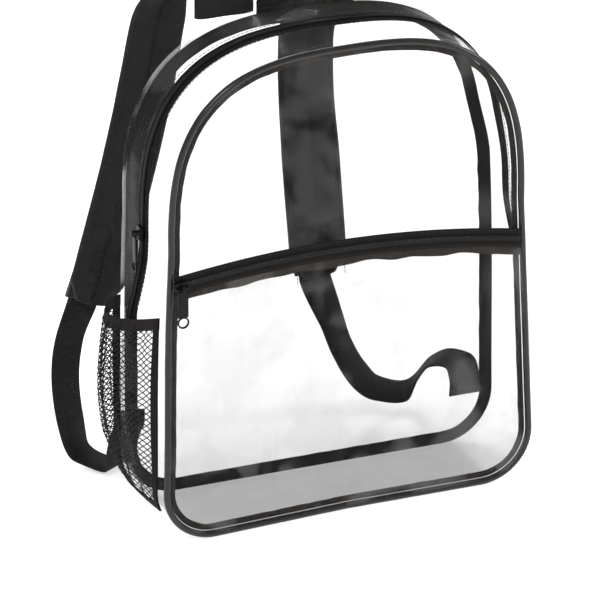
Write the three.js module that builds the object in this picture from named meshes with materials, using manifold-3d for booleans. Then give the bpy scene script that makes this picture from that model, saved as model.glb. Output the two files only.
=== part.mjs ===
// A clear vinyl backpack with an arched top, black trim, a zipped front pocket,
// a net side pocket, two padded shoulder straps and a webbing handle.
// Millimetres, +Z up. The front faces -Y, the wearer's back is towards +Y,
// and the origin is the centre of the base sheet, on the floor.
import * as THREE from "three";
import { mergeVertices } from "three/addons/utils/BufferGeometryUtils.js";
import Module from "manifold-3d";

const wasm = await Module();
wasm.setup();

// Driving dimensions of the bag's body.
const baseWidth = 305; // across the body, just above the bottom corners
const shoulderWidth = 287; // across the body where the arch begins
const bagHeight = 381;
const shoulderHeight = 234; // where the arch begins
const bagDepth = 80; // front seam to back seam
const backRise = 5; // how much higher the back panel's arch is than the front's
const backSpread = 0.045; // how much wider the back panel is at the shoulders
const backSqueeze = 0.055; // how much narrower its arch then is at +X
const squeezeRise = 60; // above the shoulder, where that is reached
const frontBow = 10; // how far forward the front's lower corner at -X stands
const bowLow = 40; // the bow is full below this height
const bowHigh = 195; // and gone above this one
const sideBelly = 18; // how far the side walls swell between the seams
const bellyHeight = 222; // the swelling ends here
const bellyPower = 1.6; // how steeply it rises and falls with height
const seamStrip = 4; // next to each seam the wall stays straight
const wallStep = 12; // between a side wall's points from front to back
const cornerRadius = 42; // the two bottom corners
const archPower = 2.86; // 2 is an ellipse, more is squarer
const vinyl = 1; // the clear sheet
const gap = 0.3; // between two pieces that are sewn together

// Trim.
const beadRadius = 2.6; // black piping round the front panel
const weltRadius = 2; // clear rolled edge round the back panel
const bindingThickness = 1;
const frontBindingWidth = 4.5;
const backBindingWidth = 10;

// Main zip, which runs up one side, over the arch and down the other.
const mainZipCentre = 3; // its distance behind the middle of the bag's depth
const tapeWidth = 14; // both halves of the zip, as they show
const zipEndHeight = 168;
const coilWidth = 4.2;
const coilHeight = 1.6;
const tapeThickness = 0.8;
const mainSliderHeight = 236;

// Front pocket.
const pocketZipEndHeight = 209; // the zip's height at the two side seams
const pocketZipRise = 14; // how much higher it is in the middle
const pocketZipTilt = 3; // how much lower it runs in the middle, towards +X
const pocketTapeWidth = 15;
const pocketCrown = 9; // how far the pocket stands off in its middle
const pocketSliderOffset = -136; // along X from the bag's centre

// Sliders and pulls.
const sliderLength = 11;
const sliderWidth = 8.6;
const sliderThickness = 3.4;
const sliderClearance = 0.9; // between the slider's foot and the tape
const bailHeight = 6.5; // the bail's bar above the slider's foot
const barRadius = 0.8;
const eyeHole = 1.6;
const eyeRadius = 2.6;
const eyeLength = 2.4;
const pullWidth = 8;
const pullThickness = 1.2;
const pullLength = 27; // the bar to the ring's centre
const ringRadius = 4.7;
const ringHole = 3.5;

// Net pocket on the side at -X.
const netBottomHeight = 27;
const netFrontHeight = 182;
const netBackHeight = 173;
const netBulge = 9;
const elasticBulge = 12;
const elasticHeight = 9;
const elasticSag = 6;
const netThickness = 1;
const netLean = 2.2; // 1 bulges most in the middle, more bulges towards the back
const netClearance = 1.8; // from the side wall where it is sewn on
const netBindingHeight = 6;

// Shoulder straps, webbing and handle.
const strapWidth = 45.5;
const strapThickness = 8;
const strapEndWidth = 0.55; // share of its width that a strap has at its lower end
const webbingWidth = 25;
const webbingThickness = 1.6;
const handleSpan = 52; // between the middles of the handle's two ends
const handleRise = 34; // above the top seam
const lockLength = 28;
const lockWidth = 34;
const lockThickness = 3;
const lockSlot = 5.6;
const lockPlay = 2; // a slot is this much wider than the webbing
const tabReach = 59; // how far up its strap a lock's tab is sewn on

const halfDepth = bagDepth / 2;

// Turns a closed surface inside out if its volume is negative.
function facingOut(positions, triangles) {
  let volume = 0;
  const a = new THREE.Vector3();
  const b = new THREE.Vector3();
  const c = new THREE.Vector3();
  for (let i = 0; i < triangles.length; i += 3) {
    a.fromArray(positions, 3 * triangles[i]);
    b.fromArray(positions, 3 * triangles[i + 1]);
    c.fromArray(positions, 3 * triangles[i + 2]);
    volume += a.dot(b.cross(c));
  }
  return volume < 0 ? triangles.reverse() : triangles;
}

// Joins rings of equally many points into one closed solid. A looped row of
// rings meets its own start, and an open row gets a fan at each end.
function loft(rings, looped = false) {
  const count = rings[0].length;
  const positions = rings.flat().flatMap((p) => [p.x, p.y, p.z]);
  const triangles = [];
  const steps = looped ? rings.length : rings.length - 1;
  for (let i = 0; i < steps; i++) {
    const here = i * count;
    const next = ((i + 1) % rings.length) * count;
    for (let j = 0; j < count; j++) {
      const k = (j + 1) % count;
      triangles.push(here + j, next + j, next + k, here + j, next + k, here + k);
    }
  }
  if (!looped) {
    [0, rings.length - 1].forEach((i) => {
      const middle = new THREE.Vector3();
      rings[i].forEach((p) => middle.addScaledVector(p, 1 / count));
      const hub = positions.length / 3;
      positions.push(middle.x, middle.y, middle.z);
      for (let j = 0; j < count; j++) {
        const k = (j + 1) % count;
        const fan = [hub, i * count + j, i * count + k];
        triangles.push(...(i === 0 ? fan : fan.reverse()));
      }
    });
  }
  const geometry = new THREE.BufferGeometry();
  geometry.setAttribute("position", new THREE.Float32BufferAttribute(positions, 3));
  geometry.setIndex(facingOut(positions, triangles));
  geometry.computeVertexNormals();
  return geometry;
}

// A three.js geometry as a manifold-3d solid, for joins and cuts.
function solidOf(geometry) {
  const bare = new THREE.BufferGeometry();
  const source = geometry.index ? geometry.toNonIndexed() : geometry;
  bare.setAttribute("position", source.getAttribute("position"));
  const merged = mergeVertices(bare, 1e-4);
  return new wasm.Manifold(
    new wasm.Mesh({
      numProp: 3,
      vertProperties: merged.attributes.position.array,
      triVerts: new Uint32Array(merged.index.array),
    }),
  );
}

function geometryOf(solid) {
  const mesh = solid.getMesh();
  const geometry = new THREE.BufferGeometry();
  geometry.setAttribute("position", new THREE.BufferAttribute(mesh.vertProperties, 3));
  geometry.setIndex(new THREE.BufferAttribute(mesh.triVerts, 1));
  geometry.computeVertexNormals();
  return geometry;
}

// The right half of the body's outline, from the base's middle to the arch's top.
function halfOutline() {
  const points = [new THREE.Vector2(0, 0)];
  const half = baseWidth / 2;
  const cornerSteps = 7;
  for (let i = 0; i <= cornerSteps; i++) {
    const turn = (i / cornerSteps) * (Math.PI / 2);
    points.push(
      new THREE.Vector2(
        half - cornerRadius + cornerRadius * Math.sin(turn),
        cornerRadius * (1 - Math.cos(turn)),
      ),
    );
  }
  const sideSteps = 6;
  for (let i = 1; i < sideSteps; i++) {
    const share = i / sideSteps;
    points.push(
      new THREE.Vector2(
        half + (shoulderWidth / 2 - half) * share,
        cornerRadius + (shoulderHeight - cornerRadius) * share,
      ),
    );
  }
  const archSteps = 14;
  for (let i = 0; i <= archSteps; i++) {
    const turn = (i / archSteps) * (Math.PI / 2);
    points.push(
      new THREE.Vector2(
        (shoulderWidth / 2) * Math.max(0, Math.cos(turn)) ** (2 / archPower),
        shoulderHeight + (bagHeight - shoulderHeight) * Math.sin(turn) ** (2 / archPower),
      ),
    );
  }
  points[points.length - 1].x = 0;
  return points;
}

// Half the body's width at a height, for what sits on the side walls.
function halfWidthAt(height) {
  const points = halfOutline();
  for (let i = 1; i < points.length; i++) {
    if (points[i].y >= height && points[i].y > points[i - 1].y && points[i - 1].x > 1) {
      const share = (height - points[i - 1].y) / (points[i].y - points[i - 1].y);
      return THREE.MathUtils.lerp(points[i - 1].x, points[i].x, share);
    }
  }
  return 0;
}

// The whole outline as a closed loop, moved inwards by inset.
function outline(inset = 0) {
  const right = halfOutline();
  const left = right.slice(1, -1).reverse().map((p) => new THREE.Vector2(-p.x, p.y));
  return insetBy([...right, ...left], inset, true);
}

// Moves each point of a line towards the line's left by inset.
function insetBy(points, inset, closed) {
  return points.map((p, i) => {
    const last = points.length - 1;
    const before = closed ? points[(i + last) % points.length] : points[Math.max(0, i - 1)];
    const after = closed ? points[(i + 1) % points.length] : points[Math.min(last, i + 1)];
    const into = new THREE.Vector2().subVectors(p, before).normalize();
    const out = new THREE.Vector2().subVectors(after, p).normalize();
    if (into.lengthSq() === 0) into.copy(out);
    if (out.lengthSq() === 0) out.copy(into);
    const along = into.clone().add(out).normalize();
    const stretch = 1 / Math.max(0.5, along.dot(out));
    return new THREE.Vector2(p.x - along.y * inset * stretch, p.y + along.x * inset * stretch);
  });
}

// The stretch of the outline over the arch, or else round the base, between
// the two points at a height. It runs from +X to -X over the arch, and from
// -X to +X round the base.
function stretch(height, overArch, inset = 0) {
  const right = halfOutline();
  const end = new THREE.Vector2(halfWidthAt(height), height);
  const kept = right.filter((p, i) => {
    const upper = p.y > height + gap;
    return overArch ? upper : !upper && p.y < height - gap;
  });
  const half = overArch ? [end, ...kept] : [...kept, end];
  const mirrored = half.map((p) => new THREE.Vector2(-p.x, p.y)).reverse();
  const line = overArch
    ? [...half, ...mirrored.slice(1)]
    : [...mirrored, ...half.slice(1)];
  return insetBy(line, inset, false);
}

// A wall that follows a line of the outline: inset is its outer face, and it
// reaches from front to back in Y.
function wall(line, inwards, front, back) {
  const inner = insetBy(line, inwards, false);
  const steps = Math.max(1, Math.round((back - front) / wallStep));
  const places = Array.from({ length: steps + 1 }, (_, i) => front + ((back - front) * i) / steps);
  return loft(
    line.map((p, i) => [
      ...places.map((y) => new THREE.Vector3(p.x, y, p.y)),
      ...places.toReversed().map((y) => new THREE.Vector3(inner[i].x, y, inner[i].y)),
    ]),
  );
}

// A flat ring that follows the whole outline, between two insets.
function ring(outerInset, innerInset, front, back) {
  const outer = outline(outerInset);
  const inner = outline(innerInset);
  return loft(
    outer.map((p, i) => [
      new THREE.Vector3(p.x, front, p.y),
      new THREE.Vector3(p.x, back, p.y),
      new THREE.Vector3(inner[i].x, back, inner[i].y),
      new THREE.Vector3(inner[i].x, front, inner[i].y),
    ]),
    true,
  );
}

// A round bead along the whole outline, whose outer side lies on the outline.
function bead(radius, depth) {
  const outer = outline(0);
  const middle = outline(radius);
  const sides = 8;
  return loft(
    middle.map((p, i) => {
      const out = new THREE.Vector2().subVectors(outer[i], p).normalize();
      return Array.from({ length: sides }, (_, j) => {
        const turn = ((j + 0.5) / sides) * 2 * Math.PI;
        const reach = (radius / Math.cos(Math.PI / sides)) * Math.cos(turn);
        const across = (radius / Math.cos(Math.PI / sides)) * Math.sin(turn);
        return new THREE.Vector3(p.x + out.x * reach, depth + across, p.y + out.y * reach);
      });
    }),
    true,
  );
}

// A sheet inside a closed line in the XZ plane. forward(x, z) is how far each
// point stands in front of the sheet's flat place, and shares is where its
// rings of points lie from its middle to its edge.
function panel(line, place, thickness, shares = [1], forward = () => 0) {
  const middle = new THREE.Vector2();
  line.forEach((p) => middle.addScaledVector(p, 1 / line.length));
  const face = (share, back) =>
    line.map((p) => {
      const q = p.clone().sub(middle).multiplyScalar(share).add(middle);
      return new THREE.Vector3(q.x, place - forward(q.x, q.y) + back, q.y);
    });
  return loft([
    ...shares.map((share) => face(share, 0)),
    ...shares.toReversed().map((share) => face(share, thickness)),
  ]);
}

// Height of the pocket zip's middle line.
function pocketZipHeight(x) {
  const across = x / (shoulderWidth / 2);
  return pocketZipEndHeight + pocketZipRise * (1 - across ** 2) - pocketZipTilt * (1 + across);
}

// How far the pocket's sheet and zip stand in front of their flat place.
function pocketForward(x, z) {
  const across = Math.max(0, 1 - (x / (baseWidth / 2)) ** 2);
  const up = THREE.MathUtils.clamp(z / pocketZipHeight(x), 0, 1);
  const swell = Math.sin(Math.PI * Math.min(1, 0.12 + 0.7 * up)) ** 1.2;
  return pocketCrown * across ** 0.7 * swell;
}

const pocketPlace = -halfDepth - 3 * vinyl;

// A band along the pocket's zip, between two offsets from its middle line.
function pocketBand(low, high, front, thickness) {
  const reach = halfWidthAt(pocketZipEndHeight) - 2 * beadRadius - gap;
  const steps = 18;
  return loft(
    Array.from({ length: steps + 1 }, (_, i) => {
      const x = -reach + (2 * reach * i) / steps;
      const z = pocketZipHeight(x);
      const y = pocketPlace - pocketForward(x, z) + front;
      return [
        new THREE.Vector3(x, y, z + low),
        new THREE.Vector3(x, y, z + high),
        new THREE.Vector3(x, y + thickness, z + high),
        new THREE.Vector3(x, y + thickness, z + low),
      ];
    }),
  );
}

const pocketRings = [0.3, 0.55, 0.75, 0.9, 1];

// The pocket's sheet: the outline up to the zip's tape, inside the piping.
function pocketSheet() {
  const inset = 2 * beadRadius + gap;
  const lower = stretch(pocketZipEndHeight - pocketTapeWidth / 2, false, inset);
  const reach = lower[lower.length - 1].x;
  const top = [];
  const steps = 14;
  for (let i = 1; i < steps; i++) {
    const x = reach - (2 * reach * i) / steps;
    top.push(new THREE.Vector2(x, pocketZipHeight(x) - pocketTapeWidth / 2 - gap));
  }
  lower[0].y = pocketZipHeight(-reach) - pocketTapeWidth / 2 - gap;
  lower[lower.length - 1].y = pocketZipHeight(reach) - pocketTapeWidth / 2 - gap;
  return panel([...lower, ...top], pocketPlace, vinyl, pocketRings, pocketForward);
}

// The centre of the main zip's line, with the way out of the bag at each point.
function coil(line, lift, front, back) {
  const raised = insetBy(line, -lift, false);
  return wall(raised, lift - gap, front, back);
}

// A ribbon or pad along a smooth curve through a table of rows, each with a
// place and the way its width runs there. section is a list of
// [share of half the width, share of half the thickness], and endWidth is the
// share of the width that is left at the very end.
function ribbon(rows, width, thickness, section, endWidth = 1, stepsPerRow = 3) {
  const curve = new THREE.CatmullRomCurve3(
    rows.map((row) => row.at),
    false,
    "centripetal",
  );
  const steps = (rows.length - 1) * stepsPerRow;
  const rings = [];
  for (let i = 0; i <= steps; i++) {
    const at = curve.getPoint(i / steps);
    const along = curve.getTangent(i / steps);
    const low = Math.min(Math.floor(i / stepsPerRow), rows.length - 2);
    const across = rows[low].across.clone().lerp(rows[low + 1].across, i / stepsPerRow - low);
    across.addScaledVector(along, -across.dot(along)).normalize();
    const out = new THREE.Vector3().crossVectors(along, across);
    const kept = THREE.MathUtils.lerp(endWidth, 1, Math.min(1, (steps - i) / 2));
    rings.push(
      section.map(([w, t]) =>
        at
          .clone()
          .addScaledVector(across, (w * kept * width) / 2)
          .addScaledVector(out, (t * thickness) / 2),
      ),
    );
  }
  return loft(rings);
}

const flatSection = [
  [-1, -1],
  [1, -1],
  [1, 1],
  [-1, 1],
];

// A quilted pad: two soft channels with a stitched groove down the middle.
const padSection = [
  [1, 0],
  [0.94, 0.62],
  [0.55, 1],
  [0.12, 0.72],
  [0, 0.45],
  [-0.12, 0.72],
  [-0.55, 1],
  [-0.94, 0.62],
  [-1, 0],
  [-0.94, -0.62],
  [-0.55, -1],
  [0, -0.8],
  [0.55, -1],
  [0.94, -0.62],
];

// Rows of a table as places: x is a share of half the base's width, y a share
// of the depth behind the back panel, z a share of the height.
function placed(table) {
  return table.map(([x, y, z, ...across]) => ({
    at: new THREE.Vector3((x * baseWidth) / 2, halfDepth + y * bagDepth, z * bagHeight),
    across: new THREE.Vector3(...across),
  }));
}

// A slider with its bail. Its own X runs along the zip, Y is up out of the
// tape, and it stands on the tape at Y 0. The bail's bar runs along the zip
// or across it.
function slider(barAcross) {
  const nose = 0.34;
  const plan = new THREE.Shape(
    [
      [-0.5, -nose],
      [-0.3, -0.5],
      [0.3, -0.5],
      [0.5, -nose],
      [0.5, nose],
      [0.3, 0.5],
      [-0.3, 0.5],
      [-0.5, nose],
    ].map(([x, y]) => new THREE.Vector2(x * sliderLength, y * sliderWidth)),
  );
  const body = new THREE.ExtrudeGeometry(plan, { depth: sliderThickness, bevelEnabled: false });
  body.rotateX(-Math.PI / 2);
  const channel = new THREE.BoxGeometry(
    2 * sliderLength,
    2 * (coilHeight + gap),
    coilWidth + 4 * gap,
  );
  const postHeight = bailHeight + barRadius - sliderThickness + gap;
  const postPlace = (barAcross ? sliderWidth : sliderLength) / 2 - 1.5 * barRadius;
  const bail = new THREE.CylinderGeometry(barRadius, barRadius, 2 * postPlace, 8);
  bail.rotateZ(Math.PI / 2);
  bail.translate(0, bailHeight, 0);
  const posts = [-1, 1].map((side) => {
    const post = new THREE.BoxGeometry(2 * barRadius, postHeight, 2 * barRadius);
    post.translate(side * postPlace, sliderThickness - gap + postHeight / 2, 0);
    return post;
  });
  let made = solidOf(body).subtract(solidOf(channel));
  [bail, ...posts].forEach((piece) => {
    if (barAcross) piece.rotateY(Math.PI / 2);
    made = made.add(solidOf(piece));
  });
  return geometryOf(made);
}

// A pull: an eye round the bail's bar, a flat tab and a ring. It hangs along
// -Z from the bar, which lies along X through its origin.
function pull() {
  const eyeShape = new THREE.Shape().absarc(0, 0, eyeRadius, 0, 2 * Math.PI);
  eyeShape.holes.push(new THREE.Path().absarc(0, 0, eyeHole, 0, 2 * Math.PI));
  const eye = new THREE.ExtrudeGeometry(eyeShape, {
    depth: eyeLength,
    bevelEnabled: false,
    curveSegments: 7,
  });
  eye.translate(0, 0, -eyeLength / 2);
  eye.rotateY(Math.PI / 2);
  const neck = (eyeRadius + eyeHole) / 2;
  const tabLength = pullLength - (ringRadius + ringHole) / 2 - neck;
  const tab = new THREE.BoxGeometry(pullWidth, pullThickness, tabLength);
  tab.translate(0, 0, -neck - tabLength / 2);
  const ringShape = new THREE.Shape().absarc(0, 0, ringRadius, 0, 2 * Math.PI);
  ringShape.holes.push(new THREE.Path().absarc(0, 0, ringHole, 0, 2 * Math.PI));
  const hoop = new THREE.ExtrudeGeometry(ringShape, {
    depth: pullThickness,
    bevelEnabled: false,
    curveSegments: 9,
  });
  hoop.translate(0, 0, -pullThickness / 2);
  hoop.rotateX(Math.PI / 2);
  hoop.translate(0, 0, -pullLength);
  const finger = new THREE.CylinderGeometry(ringHole, ringHole, 4 * pullThickness, 18);
  finger.translate(0, 0, -pullLength);
  const made = solidOf(eye).add(solidOf(tab)).add(solidOf(hoop));
  return geometryOf(made.subtract(solidOf(finger)));
}

// A frame at the lower end of a strap: down runs on along the strap, across
// over its width, and back out of its wearer's side.
function endOf(rows) {
  const last = rows[rows.length - 1];
  const down = last.at.clone().sub(rows[rows.length - 2].at).normalize();
  const across = last.across.clone();
  across.addScaledVector(down, -across.dot(down)).normalize();
  const back = new THREE.Vector3().crossVectors(down, across).normalize();
  if (back.y < 0) back.negate();
  return { at: last.at, down, across, back };
}

// A place given from a strap's end: how far on down, and how far back.
function fromEnd(end, down, back) {
  return {
    at: end.at.clone().addScaledVector(end.down, down).addScaledVector(end.back, back),
    across: end.across,
  };
}

// A lock's place from its strap's end: how far on down, and how far back.
const lockDown = -lockLength / 2;
const lockStandOff = lockThickness / 2 + webbingThickness / 2 + 2 * gap;
const lockBack = strapThickness / 2 + webbingThickness / 2 + 2 * gap + lockStandOff;

// A ladder lock: a plate with two slots, behind a strap's end.
function ladderLock(end) {
  const plate = new THREE.BoxGeometry(lockWidth, lockThickness, lockLength);
  let made = solidOf(plate);
  [-1, 1].forEach((side) => {
    const slot = new THREE.BoxGeometry(webbingWidth + lockPlay, 2 * lockThickness, lockSlot);
    slot.translate(0, 0, (side * lockLength) / 4);
    made = made.subtract(solidOf(slot));
  });
  const geometry = geometryOf(made);
  const third = new THREE.Vector3().crossVectors(end.across, end.back);
  const basis = new THREE.Matrix4().makeBasis(end.across, end.back, third);
  basis.setPosition(fromEnd(end, lockDown, lockBack).at);
  geometry.applyMatrix4(basis);
  return geometry;
}

// Where webbing passes a slot from the lock's front to its back.
function throughSlot(end, slotPlace) {
  return [
    fromEnd(end, slotPlace - lockSlot / 2, lockBack - lockStandOff),
    fromEnd(end, slotPlace, lockBack),
    fromEnd(end, slotPlace + lockSlot / 2, lockBack + lockStandOff),
  ];
}

// The short webbing that ties a lock to its strap, through the upper slot.
function tabRows(end) {
  const front = lockBack - lockStandOff;
  const slotPlace = lockDown - lockLength / 4;
  return [
    fromEnd(end, -tabReach, front),
    fromEnd(end, -0.7 * tabReach, front),
    fromEnd(end, slotPlace - lockSlot, front),
    ...throughSlot(end, slotPlace),
    fromEnd(end, slotPlace + lockSlot, lockBack + lockStandOff + gap),
  ];
}

// The webbing's own start, through the lower slot.
function webbingStart(end) {
  const slotPlace = lockDown + lockLength / 4;
  return [
    fromEnd(end, lockDown, lockBack - lockStandOff),
    ...throughSlot(end, slotPlace),
    fromEnd(end, lockLength / 4, lockBack + lockStandOff + gap),
  ];
}

// The net pocket's wall, by its share along the depth and its share up the side.
function netPoint(along, up, out) {
  const front = -halfDepth + 2 * beadRadius + gap;
  const back = halfDepth - 2 * weltRadius - gap;
  const sag = elasticSag * Math.sin(Math.PI * along);
  const top = THREE.MathUtils.lerp(netFrontHeight, netBackHeight, along) - sag;
  const height = THREE.MathUtils.lerp(netBottomHeight, top, up);
  const belly = THREE.MathUtils.lerp(netBulge, elasticBulge, up) * Math.min(1, 3 * up) ** 0.7;
  const round = Math.max(0, Math.sin(Math.PI * along ** netLean)) ** 0.6;
  const stand = netClearance + belly * round;
  return new THREE.Vector3(
    -halfWidthAt(height) - stand - out,
    THREE.MathUtils.lerp(front, back, along),
    height,
  );
}

// A patch of the net pocket's wall between two shares of its height.
function netPatch(low, high, rows, thickness) {
  const columns = 10;
  const rings = [];
  for (let i = 0; i <= columns; i++) {
    const along = i / columns;
    const outer = [];
    const inner = [];
    for (let j = 0; j <= rows; j++) {
      const up = THREE.MathUtils.lerp(low, high, j / rows);
      outer.push(netPoint(along, up, thickness));
      inner.push(netPoint(along, up, 0));
    }
    rings.push([...outer, ...inner.reverse()]);
  }
  return loft(rings);
}

// The body is a little higher and wider at the back, its side walls swell out
// between the seams, its back leans in at the shoulder at +X, and its front
// stands forward at the lower corner at -X. Every soft piece follows.
function fitted(v) {
  const back = THREE.MathUtils.clamp((v.y + halfDepth) / bagDepth, 0, 1);
  const wide = THREE.MathUtils.smoothstep(v.z, 0, shoulderHeight);
  const high = THREE.MathUtils.clamp((v.z - shoulderHeight) / (bagHeight - shoulderHeight), 0, 1);
  const inside = (v.y + halfDepth - seamStrip) / (bagDepth - 2 * seamStrip);
  const deep = Math.sin(Math.PI * THREE.MathUtils.clamp(inside, 0, 1));
  const height = Math.sin(Math.PI * THREE.MathUtils.clamp(v.z / bellyHeight, 0, 1));
  const belly = (sideBelly * deep * Math.max(0, height) ** bellyPower) / (baseWidth / 2);
  const right = THREE.MathUtils.clamp(v.x / (shoulderWidth / 2), 0, 1);
  const left = THREE.MathUtils.clamp(-v.x / (baseWidth / 2), 0, 1);
  const squeeze = THREE.MathUtils.smoothstep(v.z, shoulderHeight, shoulderHeight + squeezeRise);
  const low = 1 - THREE.MathUtils.smoothstep(v.z, bowLow, bowHigh);
  v.x *= 1 + backSpread * back * wide + belly - (right > 0 ? backSqueeze * back * squeeze : 0);
  v.y -= frontBow * (1 - back) * left * low;
  v.z += backRise * back * high * (1 - right);
  return v;
}

function fit(geometry) {
  const position = geometry.getAttribute("position");
  const v = new THREE.Vector3();
  for (let i = 0; i < position.count; i++) {
    fitted(v.fromBufferAttribute(position, i));
    position.setXYZ(i, v.x, v.y, v.z);
  }
  geometry.computeVertexNormals();
  return geometry;
}

// Columns: x, y and z as placed() takes them, then the way the width runs.
const leftStrapTable = [
  [-0.4, 0.125, 0.985, 1, 0, 0],
  [-0.4, 0.125, 1.01, 1, 0, 0],
  [-0.41, 0.165, 1.045, 0.97, 0.2, 0.1],
  [-0.45, 0.25, 1.07, 0.85, 0.5, 0],
  [-0.51, 0.35, 1.075, 0.7, 0.65, 0],
  [-0.57, 0.43, 1.05, 0.75, 0.55, 0],
  [-0.625, 0.48, 1.01, 0.9, 0.35, 0],
  [-0.656, 0.5, 0.965, 1, 0.15, 0.1],
  [-0.721, 0.506, 0.832, 1, 0.08, 0.2],
  [-0.794, 0.506, 0.703, 1, 0.08, 0.2],
  [-0.9, 0.506, 0.545, 1, 0.08, 0.2],
  [-0.97, 0.506, 0.451, 1, 0.08, 0.2],
  [-1.03, 0.506, 0.387, 1, 0.08, 0.2],
];
const rightStrapTable = [
  [0.44, 0.125, 0.985, 1, 0, 0],
  [0.44, 0.125, 1.01, 1, 0, 0],
  [0.42, 0.18, 1.04, 1, 0.1, 0],
  [0.37, 0.28, 1.055, 1, 0.15, 0],
  [0.28, 0.42, 1.03, 1, 0.1, 0],
  [0.17, 0.5, 0.98, 1, 0, 0],
  [0.105, 0.5, 0.91, 1, 0, 0],
  [0.093, 0.5, 0.84, 1, 0, 0],
  [0.1135, 0.51, 0.65, 1, 0, 0],
  [0.157, 0.55, 0.45, 1, 0, 0],
  [0.18, 0.575, 0.36, 1, 0, 0],
];
const leftWebbingTable = [
  [-1.115, 0.7, 0.297, 1, 0.2, 0],
  [-1.15, 0.69, 0.22, 1, 0.25, 0],
  [-1.125, 0.75, 0.11, 0.95, 0.35, 0],
  [-1.06, 0.82, 0.03, 0.8, 0.6, 0],
  [-0.99, 0.7, 0.014, 0.75, 0.65, 0],
  [-0.93, 0.54, 0.016, 0.8, 0.5, 0],
  [-0.935, 0.34, 0.075, 1, 0.1, 0],
  [-0.945, 0.16, 0.125, 1, 0, 0],
  [-0.945, 0.06, 0.15, 1, 0, 0],
  [-0.94, 0.055, 0.185, 1, 0, 0],
];
const rightWebbingTable = [
  [0.277, 0.74, 0.245, 0.85, 0.45, 0.1],
  [0.348, 0.78, 0.17, 0.8, 0.55, 0.1],
  [0.46, 0.85, 0.0935, 0.75, 0.6, 0.25],
  [0.574, 0.91, 0.051, 0.6, 0.75, 0.25],
  [0.727, 0.875, 0.037, 0.4, 0.85, 0.3],
  [0.775, 0.65, 0.105, 0.7, 0.5, 0.5],
  [0.8, 0.34, 0.155, 0.9, 0.2, 0.35],
  [0.85, 0.12, 0.16, 1, 0, 0.1],
  [0.865, 0.055, 0.13, 1, 0, 0],
  [0.865, 0.055, 0.095, 1, 0, 0],
];

// Columns: x, y and z as shares of half the handle's span, the depth and its
// rise, then the way the width runs: its feet are flat, and its top is turned.
const handleTable = [
  [-1, 0.047, -0.45, 1, 0, 0],
  [-1, 0.047, 0.12, 1, 0, 0],
  [-1.02, 0.055, 0.4, 1, 0.6, 0],
  [-0.95, 0.07, 0.7, 0.3, 1, 0],
  [-0.6, 0.08, 0.95, 0, 1, 0],
  [0, 0.08, 1.05, 0, 1, 0],
  [0.6, 0.08, 0.95, 0, 1, 0],
  [0.95, 0.07, 0.7, -0.3, 1, 0],
  [1.02, 0.055, 0.4, -1, 0.6, 0],
  [1, 0.047, 0.12, -1, 0, 0],
  [1, 0.047, -0.45, -1, 0, 0],
];

const finishes = {
  clearVinyl: { color: 0xf2f3f4, roughness: 0.08, metalness: 0 },
  blackVinyl: { color: 0x15120f, roughness: 0.25, metalness: 0 },
  blackTape: { color: 0x171513, roughness: 0.75, metalness: 0 },
  blackCoil: { color: 0x121110, roughness: 0.4, metalness: 0 },
  blackMetal: { color: 0x0e0d0c, roughness: 0.3, metalness: 0.6 },
  blackNylon: { color: 0x1c1a19, roughness: 0.55, metalness: 0 },
  blackNet: { color: 0x161414, roughness: 0.7, metalness: 0 },
  blackPlastic: { color: 0x181716, roughness: 0.4, metalness: 0 },
};

const backpack = new THREE.Group();

function add(name, geometry, finish) {
  const mesh = new THREE.Mesh(geometry, new THREE.MeshStandardMaterial(finishes[finish]));
  mesh.name = name;
  backpack.add(mesh);
  return mesh;
}

// The clear body.
const seam = 2 * beadRadius + gap;
const backSeam = 2 * weltRadius + gap;
const zipFront = mainZipCentre - tapeWidth / 2;
const zipBack = mainZipCentre + tapeWidth / 2;
const gussetFront = -halfDepth + beadRadius + gap;
const gussetBack = halfDepth - weltRadius - gap;
const arch = stretch(zipEndHeight + gap, true);
const base = stretch(zipEndHeight, false);
add("front_panel", fit(panel(outline(seam), -halfDepth, vinyl)), "clearVinyl");
add("back_panel", fit(panel(outline(backSeam), halfDepth - vinyl, vinyl)), "clearVinyl");
add("front_gusset", fit(wall(arch, vinyl, gussetFront, zipFront - gap)), "clearVinyl");
add("rear_gusset", fit(wall(arch, vinyl, zipBack + gap, gussetBack)), "clearVinyl");
add("base_gusset", fit(wall(base, vinyl, gussetFront, gussetBack)), "clearVinyl");

// The trim round the two panels.
const bindingPlace = vinyl + gap;
const frontBinding = [-halfDepth + bindingPlace, -halfDepth + bindingPlace + bindingThickness];
const backBinding = [
  halfDepth - bindingPlace - bindingThickness - weltRadius,
  halfDepth - bindingPlace - weltRadius,
];
add("front_piping", fit(bead(beadRadius, -halfDepth)), "blackVinyl");
add("back_piping", fit(bead(weltRadius, halfDepth)), "clearVinyl");
add("front_binding", fit(ring(seam, seam + frontBindingWidth, ...frontBinding)), "blackTape");
add(
  "back_binding",
  fit(ring(bindingPlace, bindingPlace + backBindingWidth, ...backBinding)),
  "blackTape",
);

// The main zip, with its slider near the shoulder at -X.
const coilFront = mainZipCentre - coilWidth / 2;
const coilBack = mainZipCentre + coilWidth / 2;
add("main_zip_tape", fit(wall(arch, tapeThickness, zipFront, zipBack)), "blackTape");
add("main_zip_coil", fit(coil(arch, coilHeight, coilFront, coilBack)), "blackCoil");

// Sets a slider's own frame on a zip, given the way along it and the way out.
function standOn(geometry, foot, along, out) {
  const side = new THREE.Vector3().crossVectors(along, out);
  const basis = new THREE.Matrix4().makeBasis(along, out, side);
  basis.setPosition(foot.clone().addScaledVector(out, sliderClearance));
  return geometry.applyMatrix4(basis);
}

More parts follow.
